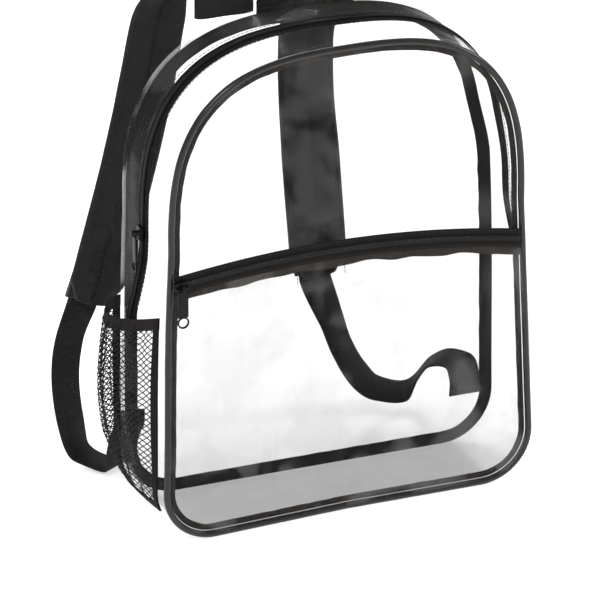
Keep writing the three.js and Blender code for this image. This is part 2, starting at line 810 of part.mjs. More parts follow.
const sidePoint = (height) => fitted(new THREE.Vector3(-halfWidthAt(height), mainZipCentre, height));
const mainFoot = sidePoint(mainSliderHeight);
const mainAlong = sidePoint(mainSliderHeight + sliderLength / 2)
  .sub(sidePoint(mainSliderHeight - sliderLength / 2))
  .normalize();
const mainOut = new THREE.Vector3(-mainAlong.z, 0, mainAlong.x);
add("main_zip_slider", standOn(slider(true), mainFoot, mainAlong, mainOut), "blackMetal");
const mainBar = mainFoot.clone().addScaledVector(mainOut, sliderClearance + bailHeight);
const mainPull = pull().rotateZ(Math.PI / 2).translate(mainBar.x, mainBar.y, mainBar.z);
add("main_zip_pull", mainPull, "blackMetal");

// The front pocket and its zip.
const tapeHalf = pocketTapeWidth / 2;
const coilHalf = coilWidth / 2;
add("pocket_panel", fit(pocketSheet()), "clearVinyl");
add("pocket_zip_tape", fit(pocketBand(-tapeHalf, tapeHalf, 0, tapeThickness)), "blackTape");
add(
  "pocket_zip_coil",
  fit(pocketBand(-coilHalf, coilHalf, -coilHeight, coilHeight - gap)),
  "blackCoil",
);
const pocketPoint = (x) => {
  const z = pocketZipHeight(x);
  return fitted(new THREE.Vector3(x, pocketPlace - pocketForward(x, z), z));
};
const pocketFoot = pocketPoint(pocketSliderOffset);
const pocketAlong = pocketPoint(pocketSliderOffset + sliderLength / 2)
  .sub(pocketPoint(pocketSliderOffset - sliderLength / 2))
  .normalize();
const pocketOut = new THREE.Vector3(pocketAlong.y, -pocketAlong.x, 0).normalize();
add("pocket_zip_slider", standOn(slider(false), pocketFoot, pocketAlong, pocketOut), "blackMetal");
const pocketBar = pocketFoot.clone().addScaledVector(pocketOut, sliderClearance + bailHeight);
const pocketPull = pull().translate(pocketBar.x, pocketBar.y, pocketBar.z);
add("pocket_zip_pull", pocketPull, "blackMetal");

// The net pocket on the side at -X.
const elasticShare = 1 - elasticHeight / (netBackHeight - netBottomHeight);
const bindingShare = netBindingHeight / (netBackHeight - netBottomHeight);
const clear = gap / (netBackHeight - netBottomHeight);
add("net_pocket", fit(netPatch(bindingShare + clear, elasticShare - clear, 7, netThickness)), "blackNet");
add("net_pocket_elastic", fit(netPatch(elasticShare, 1, 1, 1.5 * netThickness)), "blackNylon");
add("net_pocket_binding", fit(netPatch(0, bindingShare, 1, 1.5 * netThickness)), "blackTape");

// Straps, their locks and webbing, and the handle.
const handleRows = handleTable.map(([x, y, z, ...across]) => ({
  at: new THREE.Vector3(
    (x * handleSpan) / 2,
    halfDepth + y * bagDepth,
    bagHeight + z * handleRise,
  ),
  across: new THREE.Vector3(...across),
}));
add("handle", fit(ribbon(handleRows, webbingWidth, webbingThickness, flatSection)), "blackNylon");
[
  ["left", leftStrapTable, leftWebbingTable],
  ["right", rightStrapTable, rightWebbingTable],
].forEach(([side, strapTable, webbingTable]) => {
  const rows = placed(strapTable);
  const end = endOf(rows);
  const webbing = [...webbingStart(end), ...placed(webbingTable)];
  const strap = ribbon(rows, strapWidth, strapThickness, padSection, strapEndWidth);
  const tab = ribbon(tabRows(end), webbingWidth, webbingThickness, flatSection);
  const strand = ribbon(webbing, webbingWidth, webbingThickness, flatSection);
  add(`${side}_strap`, fit(strap), "blackNylon");
  add(`${side}_strap_tab`, fit(tab), "blackNylon");
  add(`${side}_ladder_lock`, fit(ladderLock(end)), "blackPlastic");
  add(`${side}_webbing`, fit(strand), "blackNylon");
});

export default backpack;
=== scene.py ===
# %% [markdown]
# # A clear vinyl backpack
# The bag is a box of clear sheet with an arched top. Black piping stiffens its
# front edge, a zip runs over its arch, and a second sheet on the front makes a
# pocket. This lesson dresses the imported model, piece by piece, in the places
# where the model's own solids are.

# %% Load the frame
import math

import bmesh
import bpy
from mathutils import Matrix, Vector, noise


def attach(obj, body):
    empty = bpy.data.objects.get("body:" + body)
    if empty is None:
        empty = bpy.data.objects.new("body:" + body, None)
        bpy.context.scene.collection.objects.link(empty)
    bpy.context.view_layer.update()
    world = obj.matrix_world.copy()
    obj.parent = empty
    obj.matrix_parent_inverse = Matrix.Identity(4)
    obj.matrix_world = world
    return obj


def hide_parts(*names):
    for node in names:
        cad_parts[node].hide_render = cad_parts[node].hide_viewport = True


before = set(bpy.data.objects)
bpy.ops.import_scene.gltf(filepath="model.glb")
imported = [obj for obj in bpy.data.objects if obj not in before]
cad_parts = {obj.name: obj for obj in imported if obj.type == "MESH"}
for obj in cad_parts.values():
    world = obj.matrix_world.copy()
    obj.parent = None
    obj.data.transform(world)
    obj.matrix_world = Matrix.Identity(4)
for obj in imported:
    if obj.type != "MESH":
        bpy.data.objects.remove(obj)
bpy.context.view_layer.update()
scene = bpy.context.scene
MM = 0.001
print("nodes:", len(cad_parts))

# %% [markdown]
# ## Camera, light and floor
# The view is that of a long lens from the front left, a little above. The
# camera is moved sideways and down rather than turned, so that the bag sits
# where it does in the picture. A white room gives the clear sheet something
# to reflect, and two soft lamps draw its creases.

# %% Camera
AZIMUTH = math.radians(-21.8)
ELEVATION = math.radians(24.4)
DISTANCE = 5.0
FRAME_PIXELS = 600
FOCAL_PIXELS = 6632
SENSOR = 36
TARGET = Vector((0, 0, 0.2))
TARGET_PIXEL = (327.8, 248.2)

back = Vector(
    (
        math.sin(AZIMUTH) * math.cos(ELEVATION),
        -math.cos(AZIMUTH) * math.cos(ELEVATION),
        math.sin(ELEVATION),
    )
)
right = Vector((math.cos(AZIMUTH), math.sin(AZIMUTH), 0))
up = back.cross(right)
metres_per_pixel = DISTANCE / FOCAL_PIXELS
aside = (TARGET_PIXEL[0] - FRAME_PIXELS / 2) * metres_per_pixel
above = (FRAME_PIXELS / 2 - TARGET_PIXEL[1]) * metres_per_pixel

camera = bpy.data.objects.new("camera", bpy.data.cameras.new("camera"))
camera.data.sensor_width = SENSOR
camera.data.lens = FOCAL_PIXELS / FRAME_PIXELS * SENSOR
turned = Matrix((right, up, back)).transposed().to_4x4()
place = TARGET + back * DISTANCE - right * aside - up * above
camera.matrix_world = Matrix.Translation(place) @ turned
scene.collection.objects.link(camera)
scene.camera = camera
print("camera at", tuple(round(c, 3) for c in place))

# %% Room and lamps
scene.view_settings.view_transform = "Standard"
world = bpy.data.worlds.new("white room")
world.use_nodes = True
room = world.node_tree
room.nodes["Background"].inputs["Color"].default_value = (1, 1, 1, 1)
sight = room.nodes.new("ShaderNodeLightPath")
brightness = room.nodes.new("ShaderNodeMapRange")
brightness.inputs["To Min"].default_value = 0.62
brightness.inputs["To Max"].default_value = 1.02
room.links.new(sight.outputs["Is Camera Ray"], brightness.inputs["Value"])
room.links.new(brightness.outputs["Result"], room.nodes["Background"].inputs["Strength"])
scene.world = world


def lamp(name, spot, size, power):
    """A square soft lamp that points at the bag's middle."""
    data = bpy.data.lights.new(name, "AREA")
    data.size = size
    data.energy = power
    made = bpy.data.objects.new(name, data)
    made.location = spot
    made.rotation_euler = (TARGET - Vector(spot)).to_track_quat("-Z", "Y").to_euler()
    scene.collection.objects.link(made)


lamp("key lamp", (-0.9, -1.2, 1.5), 0.5, 13)
lamp("side lamp", (1.3, -0.5, 0.9), 0.4, 7)
lamp("back lamp", (0.3, 1.4, 1.3), 0.6, 8)

# %% [markdown]
# ## Materials as sums
# A material is a graph of nodes. The small class below wraps a node's output,
# so that a mask or a height can be written as a Python expression. It adds the
# Math nodes itself.


# %% A socket that can be added and multiplied
class Value:
    """An output in a node tree, with the usual operators."""

    def __init__(self, graph, socket):
        self.graph = graph
        self.socket = socket

    def maths(self, operation, *others):
        settings = {"operation": operation}
        return self.graph.add("ShaderNodeMath", settings, dict(enumerate((self, *others))))

    def __add__(self, other):
        return self.maths("ADD", other)

    def __radd__(self, other):
        return self.maths("ADD", other)

    def __sub__(self, other):
        return self.maths("SUBTRACT", other)

    def __rsub__(self, other):
        return (self * -1).maths("ADD", other)

    def __mul__(self, other):
        return self.maths("MULTIPLY", other)

    def __rmul__(self, other):
        return self.maths("MULTIPLY", other)

    def __pow__(self, other):
        return self.maths("POWER", other)

    def sine(self, period):
        """A wave of that period, from -1 to 1."""
        return (self * (2 * math.pi / period)).maths("SINE")

    def clamped(self):
        return self.maths("MAXIMUM", 0.0).maths("MINIMUM", 1.0)


# %% A graph that makes nodes
MIX_A, MIX_B, MIX_RESULT = 6, 7, 2  # the colour sockets of a Mix node


class Graph:
    """The node tree of a new material."""

    def __init__(self, name):
        self.material = bpy.data.materials.new(name)
        self.material.use_nodes = True
        self.tree = self.material.node_tree
        self.tree.nodes.clear()

    def add(self, kind, settings=None, values=None, output=0):
        """A node of a kind, with its settings first and then its sockets."""
        node = self.tree.nodes.new(kind)
        for name, setting in (settings or {}).items():
            setattr(node, name, setting)
        for name, value in (values or {}).items():
            if isinstance(value, Value):
                self.tree.links.new(value.socket, node.inputs[name])
            else:
                node.inputs[name].default_value = value
        return Value(self, node.outputs[output])

    def point(self):
        """x, y and z of the object's own space, in metres."""
        place = self.add("ShaderNodeTexCoord", output="Object")
        split = self.add("ShaderNodeSeparateXYZ", None, {0: place}).socket.node
        return [Value(self, split.outputs[i]) for i in range(3)]

    def along_and_across(self):
        """The piece's own map: metres along it, and metres across it."""
        place = self.add("ShaderNodeUVMap", {"uv_map": "cloth"})
        split = self.add("ShaderNodeSeparateXYZ", None, {0: place}).socket.node
        return [Value(self, split.outputs[i]) for i in range(2)]

    def noise(self, scale, detail=2, vector=None):
        place = vector or self.add("ShaderNodeTexCoord", output="Object")
        values = {"Vector": place, "Scale": scale, "Detail": detail}
        return self.add("ShaderNodeTexNoise", None, values)

    def joined(self, x, y, z=0.0):
        return self.add("ShaderNodeCombineXYZ", None, {0: x, 1: y, 2: z})

    def bump(self, height, distance, strength=1.0):
        values = {"Height": height, "Distance": distance, "Strength": strength}
        return self.add("ShaderNodeBump", None, values)

    def tone(self, share, dark, light):
        """A colour between two, by a share from 0 to 1."""
        sockets = {0: share, MIX_A: (*dark, 1), MIX_B: (*light, 1)}
        return self.add("ShaderNodeMix", {"data_type": "RGBA"}, sockets, MIX_RESULT)

    def surface(self, values):
        return self.add("ShaderNodeBsdfPrincipled", None, values)

    def done(self, shader):
        node = self.tree.nodes.new("ShaderNodeOutputMaterial")
        self.tree.links.new(shader.socket, node.inputs["Surface"])
        return self.material


# %% [markdown]
# ## Clear vinyl
# A thin clear sheet hardly bends what is behind it, so glass would be the wrong model. It lets
# most light straight through, shines at a glancing angle and where it is creased, and takes a
# little light out. That is a Transparent shader mixed with a glossy one, by how much the sheet
# turns away. Patches and streaks of noise add more of the film as painted reflections, standing
# in for the dark things that creased vinyl would mirror and bend.


# %% Vinyl finishes
def clear_sheet(name, reflection_strength, shine, passed, tint=(0.42, 0.41, 0.4)):
    """A clear sheet. Its second number sets how much film the painted reflections add in patches
    and streaks; shine sets how its edges gleam.
    """
    g = Graph(name)
    large = g.noise(11, 3)
    small = g.noise(55, 2)
    height = large * 0.8 + small * 0.2
    relief = g.bump(height, 0.006, 0.5)
    film = g.surface(
        {
            "Base Color": (*tint, 1),
            "Roughness": small * 0.08 + 0.05,
            "Normal": relief,
            "Specular IOR Level": 0.6,
        }
    )
    clear = g.add("ShaderNodeBsdfTransparent", None, {"Color": (*passed, 1)})
    turned_away = g.add("ShaderNodeLayerWeight", None, {"Blend": 0.3, "Normal": relief}, "Facing")
    # Painted reflections: patches and streaks of noise add film, in place of the dark
    # surroundings that creased vinyl reflects and refracts.
    reflection_blotches = ((g.noise(19, 2) - 0.52) * 14).clamped()
    reflection_streaks = g.noise(1, 2, g.joined(g.point()[0] * 90, g.point()[2] * 9))
    painted_reflections = reflection_blotches * reflection_strength + ((reflection_streaks - 0.6) * 9).clamped() * (reflection_strength * 0.5)
    share = ((turned_away**4) * shine + painted_reflections + 0.004).clamped()
    mixed = g.add("ShaderNodeMixShader", None, {0: share, 1: clear, 2: film})
    return g.done(mixed)


def glossy_black(name, colour, roughness):
    """Black vinyl piping, with a soft pebbled shine."""
    g = Graph(name)
    grain = g.noise(420, 2)
    waves = g.noise(60, 2)
    values = {
        "Base Color": g.tone(waves, colour, tuple(1.6 * c for c in colour)),
        "Roughness": grain * 0.15 + roughness,
        "Normal": g.bump(grain * 0.3 + waves * 0.7, 0.0009, 0.6),
        "Coat Weight": 0.15,
        "Coat Roughness": 0.15,
        "Specular IOR Level": 0.35,
    }
    return g.done(g.surface(values))


VINYL = clear_sheet("clear_vinyl", 0.035, 0.6, (0.95, 0.951, 0.951))
POCKET_VINYL = clear_sheet("pocket_vinyl", 0.05, 0.6, (0.975, 0.975, 0.974))
# The rolled back edge takes a pale film, and more of it: a painted highlight that makes it read
# as a bright line.
WELT_VINYL = clear_sheet("folded_vinyl", 0.25, 0.8, (0.93, 0.93, 0.925), (0.8, 0.8, 0.79))
PIPING = glossy_black("black_vinyl", (0.006, 0.0055, 0.005), 0.22)

# %% [markdown]
# ## Woven finishes
# Tape, webbing and the straps' cover are all woven from nylon, but at three
# scales. Each reads the piece's own map, which runs in metres along and across
# it, so the threads turn with the ribbon.


# %% Woven and moulded finishes
WEAVE_RELIEF = 0.2 * MM
TAFFETA_PITCH = 1.1 * MM


def woven(name, colour, pitch, roughness=0.75):
    """Plain weave: two sets of threads over and under each other."""
    g = Graph(name)
    along, across = g.along_and_across()
    threads = along.sine(pitch) * across.sine(pitch) * 0.5 + 0.5
    dust = g.noise(35, 3)
    values = {
        "Base Color": g.tone(threads * 0.6 + dust * 0.4, colour, tuple(2.1 * c for c in colour)),
        "Roughness": threads * 0.12 + roughness - 0.06,
        "Normal": g.bump(threads, WEAVE_RELIEF),
        "Specular IOR Level": 0.12,
    }
    return g.done(g.surface(values))


def ribbed(name, colour, ribs, picks):
    """Webbing: ribs across its width, crossed by finer picks."""
    g = Graph(name)
    along, across = g.along_and_across()
    rib = along.sine(ribs) * 0.5 + 0.5
    pick = (across + along * 0.5).sine(picks) * 0.5 + 0.5
    height = (rib**0.6) * (pick * 0.4 + 0.6)
    values = {
        "Base Color": g.tone(height, colour, tuple(2.8 * c for c in colour)),
        "Roughness": 0.72 - height * 0.15,
        "Normal": g.bump(height, 0.0005),
        "Specular IOR Level": 0.15,
    }
    return g.done(g.surface(values))


def taffeta(name, colour):
    """The straps' thin cover: a fine weave that puckers along its stitches."""
    g = Graph(name)
    along, across = g.along_and_across()
    weave = along.sine(TAFFETA_PITCH) * across.sine(TAFFETA_PITCH)
    pucker = g.noise(1, 3, g.joined(along * 95, across * 22))
    folds = g.noise(1, 2, g.joined(along * 26, across * 14, 3.0))
    height = pucker * 0.55 + folds * 0.45
    weave_relief = g.bump(weave, 0.00012)
    values = {"Height": height, "Distance": 0.0035, "Strength": 0.75, "Normal": weave_relief}
    relief = g.add("ShaderNodeBump", None, values)
    values = {
        "Base Color": g.tone(height, colour, tuple(2.2 * c for c in colour)),
        "Roughness": pucker * 0.2 + 0.42,
        "Normal": relief,
        "Specular IOR Level": 0.2,
    }
    return g.done(g.surface(values))


def moulded(name, colour, roughness, metal=0.0):
    """Plastic or painted metal, with faint unevenness."""
    g = Graph(name)
    grain = g.noise(300, 3)
    values = {
        "Base Color": g.tone(grain, colour, tuple(1.7 * c for c in colour)),
        "Roughness": grain * 0.16 + roughness,
        "Metallic": metal,
        "Specular IOR Level": 0.3,
        "Normal": g.bump(grain, 0.00025, 0.5),
    }
    return g.done(g.surface(values))


TAPE = woven("black_tape", (0.0065, 0.0058, 0.0053), 1.1 * MM)
FLANGE = woven("brown_tape", (0.02, 0.0165, 0.0145), 1.1 * MM, 0.6)
WEBBING = ribbed("black_webbing", (0.0055, 0.005, 0.0048), 1.9 * MM, 1.4 * MM)
ELASTIC = ribbed("black_elastic", (0.007, 0.0062, 0.0058), 1.8 * MM, 1.1 * MM)
COVER = taffeta("black_taffeta", (0.0062, 0.0058, 0.0056))
COIL = moulded("black_coil", (0.006, 0.0055, 0.0052), 0.3)
METAL = moulded("black_metal", (0.008, 0.0075, 0.007), 0.22, 0.7)
PLASTIC = moulded("black_plastic", (0.012, 0.0115, 0.0105), 0.38)
NET = moulded("black_net", (0.007, 0.0062, 0.006), 0.65)
THREAD = moulded("black_thread", (0.014, 0.013, 0.012), 0.7)
print("materials:", len(bpy.data.materials))

# %% Floor
floor_graph = Graph("pale_floor")
floor_values = {
    "Base Color": (0.96, 0.96, 0.96, 1),
    "Roughness": 0.9,
    "Emission Color": (1, 1, 1, 1),
    "Emission Strength": 0.55,
}
FLOOR = floor_graph.done(floor_graph.surface(floor_values))
FLOOR_SIZE = 30.0
bpy.ops.mesh.primitive_plane_add(size=FLOOR_SIZE, location=(0, 0, 0))
floor = bpy.context.object
floor.name = "floor"
floor.data.materials.append(FLOOR)

# %% [markdown]
# ## The bag's outline
# Everything on the body follows one line: a flat base, round bottom corners,
# sides that lean in a little, and an arch that is squarer than an ellipse. The
# line is worked out at even steps, and a piece that lies inside it takes the
# line moved inwards.

# %% Sizes of the body
BASE_WIDTH = 305 * MM
SHOULDER_WIDTH = 287 * MM
HEIGHT = 381 * MM
SHOULDER_HEIGHT = 234 * MM
DEPTH = 80 * MM
CORNER_RADIUS = 42 * MM
ARCH_POWER = 2.86
BACK_RISE = 5 * MM
BACK_SPREAD = 0.045
BACK_SQUEEZE = 0.055
SQUEEZE_RISE = 60 * MM
SIDE_BELLY = 18 * MM
BELLY_HEIGHT = 222 * MM
BELLY_POWER = 1.6
SEAM_STRIP = 4 * MM
FRONT_BOW = 10 * MM
BOW_LOW = 40 * MM
BOW_HIGH = 195 * MM
SHEET = 1 * MM
GAP = 0.3 * MM
BEAD = 2.6 * MM
WELT = 2 * MM
HALF_DEPTH = DEPTH / 2
CORNER_STEPS, SIDE_STEPS, ARCH_STEPS = 24, 20, 90


def half_outline():
    """The right half of the line, from the base's middle to the arch's top."""
    half = BASE_WIDTH / 2
    points = [Vector((0, 0))]
    for i in range(CORNER_STEPS + 1):
        turn = i / CORNER_STEPS * math.pi / 2
        x = half - CORNER_RADIUS + CORNER_RADIUS * math.sin(turn)
        points.append(Vector((x, CORNER_RADIUS * (1 - math.cos(turn)))))
    for i in range(1, SIDE_STEPS):
        share = i / SIDE_STEPS
        x = half + (SHOULDER_WIDTH / 2 - half) * share
        points.append(Vector((x, CORNER_RADIUS + (SHOULDER_HEIGHT - CORNER_RADIUS) * share)))
    for i in range(ARCH_STEPS + 1):
        turn = i / ARCH_STEPS * math.pi / 2
        x = SHOULDER_WIDTH / 2 * max(0.0, math.cos(turn)) ** (2 / ARCH_POWER)
        z = SHOULDER_HEIGHT + (HEIGHT - SHOULDER_HEIGHT) * math.sin(turn) ** (2 / ARCH_POWER)
        points.append(Vector((x, z)))
    return points


def half_width(z):
    """Half the body's width at a height."""
    half = BASE_WIDTH / 2
    if z < CORNER_RADIUS:
        drop = CORNER_RADIUS - max(z, 0.0)
        return half - CORNER_RADIUS + math.sqrt(CORNER_RADIUS**2 - drop**2)
    if z < SHOULDER_HEIGHT:
        share = (z - CORNER_RADIUS) / (SHOULDER_HEIGHT - CORNER_RADIUS)
        return half + (SHOULDER_WIDTH / 2 - half) * share
    share = min(1.0, (z - SHOULDER_HEIGHT) / (HEIGHT - SHOULDER_HEIGHT))
    return SHOULDER_WIDTH / 2 * (1 - share**ARCH_POWER) ** (1 / ARCH_POWER)


# %% Even steps and insets
def even(points, count, closed=False):
    """The same line through count points at even steps."""
    line = points + [points[0]] if closed else points
    reach = [0.0]
    for a, b in zip(line, line[1:]):
        reach.append(reach[-1] + (b - a).length)
    steps = count if closed else count - 1
    made, at = [], 0
    for i in range(count):
        goal = reach[-1] * i / steps
        while at < len(line) - 2 and reach[at + 1] < goal:
            at += 1
        span = reach[at + 1] - reach[at]
        share = (goal - reach[at]) / span if span else 0.0
        made.append(line[at].lerp(line[at + 1], share))
    return made


def inset(points, amount, closed=False):
    """The line moved to its left by an amount."""
    made = []
    last = len(points) - 1
    for i, p in enumerate(points):
        before = points[i - 1] if i or closed else p
        after = points[(i + 1) % len(points)] if i < last or closed else p
        along = (after - before).normalized()
        made.append(Vector((p.x - along.y * amount, p.y + along.x * amount)))
    return made


def length_of(line):
    return sum((b - a).length for a, b in zip(line, line[1:]))


def flat_area(line):
    """The area inside a closed line."""
    pairs = zip(line, line[1:] + line[:1])
    return abs(sum(a.x * b.y - b.x * a.y for a, b in pairs)) / 2


def whole_outline(amount=0.0, count=240):
    line = half_outline()
    line += [Vector((-p.x, p.y)) for p in reversed(line[1:-1])]
    return inset(even(line, count, True), amount, True)


ZIP_END = 168 * MM


def arch_line(count=200):
    """From the zip's end at +X, over the arch, to its end at -X."""
    half = [Vector((half_width(ZIP_END + GAP), ZIP_END + GAP))]
    half += [p for p in half_outline() if p.y > ZIP_END + 2 * GAP]
    return even(half + [Vector((-p.x, p.y)) for p in reversed(half[:-1])], count)


def base_line(count=200, height=ZIP_END, amount=0.0):
    """From a height at -X, round the base, to the same height at +X."""
    half = [p for p in half_outline() if p.y < height - GAP and p.x > 0]
    kept = [p for p in half if p.y < HEIGHT / 2]
    kept.append(Vector((half_width(height), height)))
    line = [Vector((-p.x, p.y)) for p in reversed(kept)] + kept
    return inset(even(line, count), amount)


def clamped(share):
    return min(1.0, max(0.0, share))


def smooth_step(x, low, high):
    share = clamped((x - low) / (high - low))
    return share * share * (3 - 2 * share)


def fitted(v):
    """The body's sag: wider and higher behind, swollen sides, two leaning corners."""
    deep = clamped((v.y + HALF_DEPTH) / DEPTH)
    wide = smooth_step(v.z, 0, SHOULDER_HEIGHT)
    high = clamped((v.z - SHOULDER_HEIGHT) / (HEIGHT - SHOULDER_HEIGHT))
    between = (v.y + HALF_DEPTH - SEAM_STRIP) / (DEPTH - 2 * SEAM_STRIP)
    swell = math.sin(math.pi * clamped(between))
    level = max(0.0, math.sin(math.pi * clamped(v.z / BELLY_HEIGHT)))
    belly = SIDE_BELLY * swell * level**BELLY_POWER / (BASE_WIDTH / 2)
    toward_right = clamped(v.x / (SHOULDER_WIDTH / 2))
    toward_left = clamped(-v.x / (BASE_WIDTH / 2))
    low = 1 - smooth_step(v.z, BOW_LOW, BOW_HIGH)
    x = v.x * (1 + BACK_SPREAD * deep * wide + belly)
    if v.x > 0:
        squeeze = smooth_step(v.z, SHOULDER_HEIGHT, SHOULDER_HEIGHT + SQUEEZE_RISE)
        x -= v.x * BACK_SQUEEZE * deep * squeeze
    y = v.y - FRONT_BOW * (1 - deep) * toward_left * low
    return Vector((x, y, v.z + BACK_RISE * deep * high * (1 - toward_right)))


print("outline points:", len(whole_outline()))

# %% [markdown]
# ## Lofts
# Most pieces are rings of points joined into a closed skin. The helper gives
# each one a map in metres along and across, which the woven finishes read.


# %% Loft and place
def loft(name, rings, looped=False, fit=True, sharp=35):
    """Rings of equally many points as one closed mesh."""
    count = len(rings[0])
    points = [fitted(p) if fit else p for ring in rings for p in ring]
    faces, maps = [], []
    along = [0.0]
    for a, b in zip(rings, rings[1:] + rings[:1]):
        along.append(along[-1] + (b[0] - a[0]).length)
    across = [0.0]
    for a, b in zip(rings[0], rings[0][1:] + rings[0][:1]):
        across.append(across[-1] + (b - a).length)
    for i in range(len(rings) if looped else len(rings) - 1):
        here, there = i * count, (i + 1) % len(rings) * count
        for j in range(count):
            k = (j + 1) % count
            faces.append((here + j, there + j, there + k, here + k))
            u0, u1, v0, v1 = along[i], along[i + 1], across[j], across[j + 1]
            maps.append([(u0, v0), (u1, v0), (u1, v1), (u0, v1)])
    if not looped:
        for ring, turn in ((0, 1), (len(rings) - 1, -1)):
            corners = list(range(count))[::turn]
            faces.append([ring * count + j for j in corners])
            maps.append([(along[ring], across[j]) for j in corners])
    return mesh_object(name, points, faces, maps, sharp)


def mesh_object(name, points, faces, maps, sharp):
    mesh = bpy.data.meshes.new(name)
    mesh.from_pydata(points, [], faces)
    layer = mesh.uv_layers.new(name="cloth")
    corner = 0
    for piece in maps:
        for spot in piece:
            layer.data[corner].uv = spot
            corner += 1
    work = bmesh.new()
    work.from_mesh(mesh)
    if work.calc_volume(signed=True) < 0:
        bmesh.ops.reverse_faces(work, faces=work.faces)
    work.to_mesh(mesh)
    work.free()
    mesh.shade_smooth()
    mesh.set_sharp_from_angle(angle=math.radians(sharp))
    made = bpy.data.objects.new(name, mesh)
    scene.collection.objects.link(made)
    return made


def dress(piece, material, body="bag", stands_for=()):
    """Gives a piece its material and the body that it rides on."""
    piece.data.materials.clear()
    piece.data.materials.append(material)
    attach(piece, body)
    if stands_for:
        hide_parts(*stands_for)
    return piece


# %% [markdown]
# ## Creases
# Clear sheet that has been folded in a box keeps soft dents and a few sharper
# lines. Two layers of noise, fixed by their place on the bag, give the same
# dents each time. They fade out towards the seams, where the sheet is held.


# %% Crease function
def crease(x, y, z, size, seed):
    """Soft dents and sharper lines, from about -1 to 1."""
    p = Vector((x / size + seed, y / size, z / size - seed))
    soft = noise.noise(p)
    sharp = 1 - 2.2 * abs(noise.noise(p * 1.7 + Vector((3.1, 7.7, seed))))
    return 0.6 * soft + 0.4 * max(-1.0, sharp)


def panel(name, line, place, forward, depth_of_creases, seed, rings=26):
    """A sheet inside a closed line: concentric rings, front side then back."""
    middle = sum(line, Vector((0, 0))) / len(line)
    shares = [(i + 0.4) / (rings - 0.6) for i in range(rings)]

    def face(share, behind):
        made = []
        for p in line:
            q = middle.lerp(p, share)
            held = min(1.0, (1 - share) * 7)
            dent = depth_of_creases * held * crease(q.x, 0, q.y, 0.07, seed)
            made.append(Vector((q.x, place - forward(q.x, q.y) + dent + behind, q.y)))
        return made

    skins = [face(s, 0) for s in shares] + [face(s, SHEET) for s in reversed(shares)]
    return loft(name, skins)


def flat(x, z):
    return 0.0


# %% [markdown]
# ## Front and back sheets
# The two large sheets are cut to the outline, less the seam. They are thin
# solids rather than single skins, so that they have a real edge.

# %% Front and back
SEAM = 2 * BEAD + GAP
BACK_SEAM = 2 * WELT + GAP
front = panel("front_sheet", whole_outline(SEAM), -HALF_DEPTH, flat, 0.9 * MM, 1.3)
dress(front, VINYL, stands_for=["front_panel"])
rear = panel("back_sheet", whole_outline(BACK_SEAM), HALF_DEPTH - SHEET, flat, 1.6 * MM, 5.1)
dress(rear, VINYL, stands_for=["back_panel"])


for piece, amount in ((front, SEAM), (rear, BACK_SEAM)):
    cut = whole_outline(amount)
    flat_area(cut)
print("front and back sheets made")

# %% [markdown]
# ## Side walls
# The walls are strips of the same sheet that follow the outline. The strip
# round the base carries the weight, so its creases are deeper, and they run
# into the bag, never out of it, because the bag stands on this sheet.


# %% Side walls
def strip(name, line, front_edge, back_edge, dents, seed, thickness=SHEET, cells=14):
    """A wall along a line, from front to back, dented inwards."""
    edges = [i / cells for i in range(cells + 1)]
    inner_line = inset(line, thickness)
    made = []
    for i, p in enumerate(line):
        toward = (inner_line[i] - p).normalized()
        end = min(i, len(line) - 1 - i) / len(line)
        outer, inner = [], []
        for share in edges:
            y = front_edge + (back_edge - front_edge) * share
            held = min(1.0, 6 * min(share, 1 - share), 25 * end + 0.15)
            dent = dents * held * (0.5 + 0.5 * crease(p.x, y, p.y, 0.045, seed))
            a = p + toward * dent
            b = inner_line[i] + toward * dent
            outer.append(Vector((a.x, y, a.y)))
            inner.append(Vector((b.x, y, b.y)))
        made.append(outer + inner[::-1])
    return loft(name, made)


ZIP_MIDDLE = 3 * MM
TAPE_WIDTH = 14 * MM
ZIP_FRONT = ZIP_MIDDLE - TAPE_WIDTH / 2
ZIP_BACK = ZIP_MIDDLE + TAPE_WIDTH / 2
WALL_FRONT = -HALF_DEPTH + BEAD + GAP
WALL_BACK = HALF_DEPTH - WELT - GAP

arch = arch_line()
base = base_line()
walls = {
    "front_gusset": strip("front_wall", arch, WALL_FRONT, ZIP_FRONT - GAP, 1.6 * MM, 2.2),
    "rear_gusset": strip("rear_wall", arch, ZIP_BACK + GAP, WALL_BACK, 1.6 * MM, 8.4),
    "base_gusset": strip("base_wall", base, WALL_FRONT, WALL_BACK, 3.2 * MM, 4.6, cells=22),
}


for node, wall in walls.items():
    dress(wall, VINYL, stands_for=[node])
    run = length_of(base if node == "base_gusset" else arch)
print("arch", round(length_of(arch), 3), "base", round(length_of(base), 3))

# %% [markdown]
# ## Piping and bindings
# The front seam has a black bead round a cord. The back seam is turned and topstitched, and shows
# a rolled edge of clear sheet. Its bright line is partly the lamps' gleam and partly a painted
# highlight, a pale film. Inside both seams a woven tape covers the raw edges.


# %% Beads and flat rings
FLANGE_WIDTH = 4.5 * MM
BINDING_WIDTH = 10 * MM
TAPE_THICKNESS = 1 * MM
TAPE_RIPPLE = 0.5 * MM
EDGE_STEPS = 300


def bead(name, radius, depth, sides, wobble, seed):
    """A round bead along the whole outline, touching it from inside."""
    outer = whole_outline(0, EDGE_STEPS)
    middle = whole_outline(radius, EDGE_STEPS)
    rings = []
    for a, b in zip(outer, middle):
        out = (a - b).normalized()
        swell = 1 + wobble * noise.noise(Vector((b.x * 60, seed, b.y * 60)))
        ring = []
        for j in range(sides):
            turn = (j + 0.5) / sides * 2 * math.pi
            reach = radius * swell * math.cos(turn)
            y = depth + radius * swell * math.sin(turn)
            ring.append(Vector((b.x + out.x * reach, y, max(0.0, b.y + out.y * reach))))
        rings.append(ring)
    return loft(name, rings, looped=True)


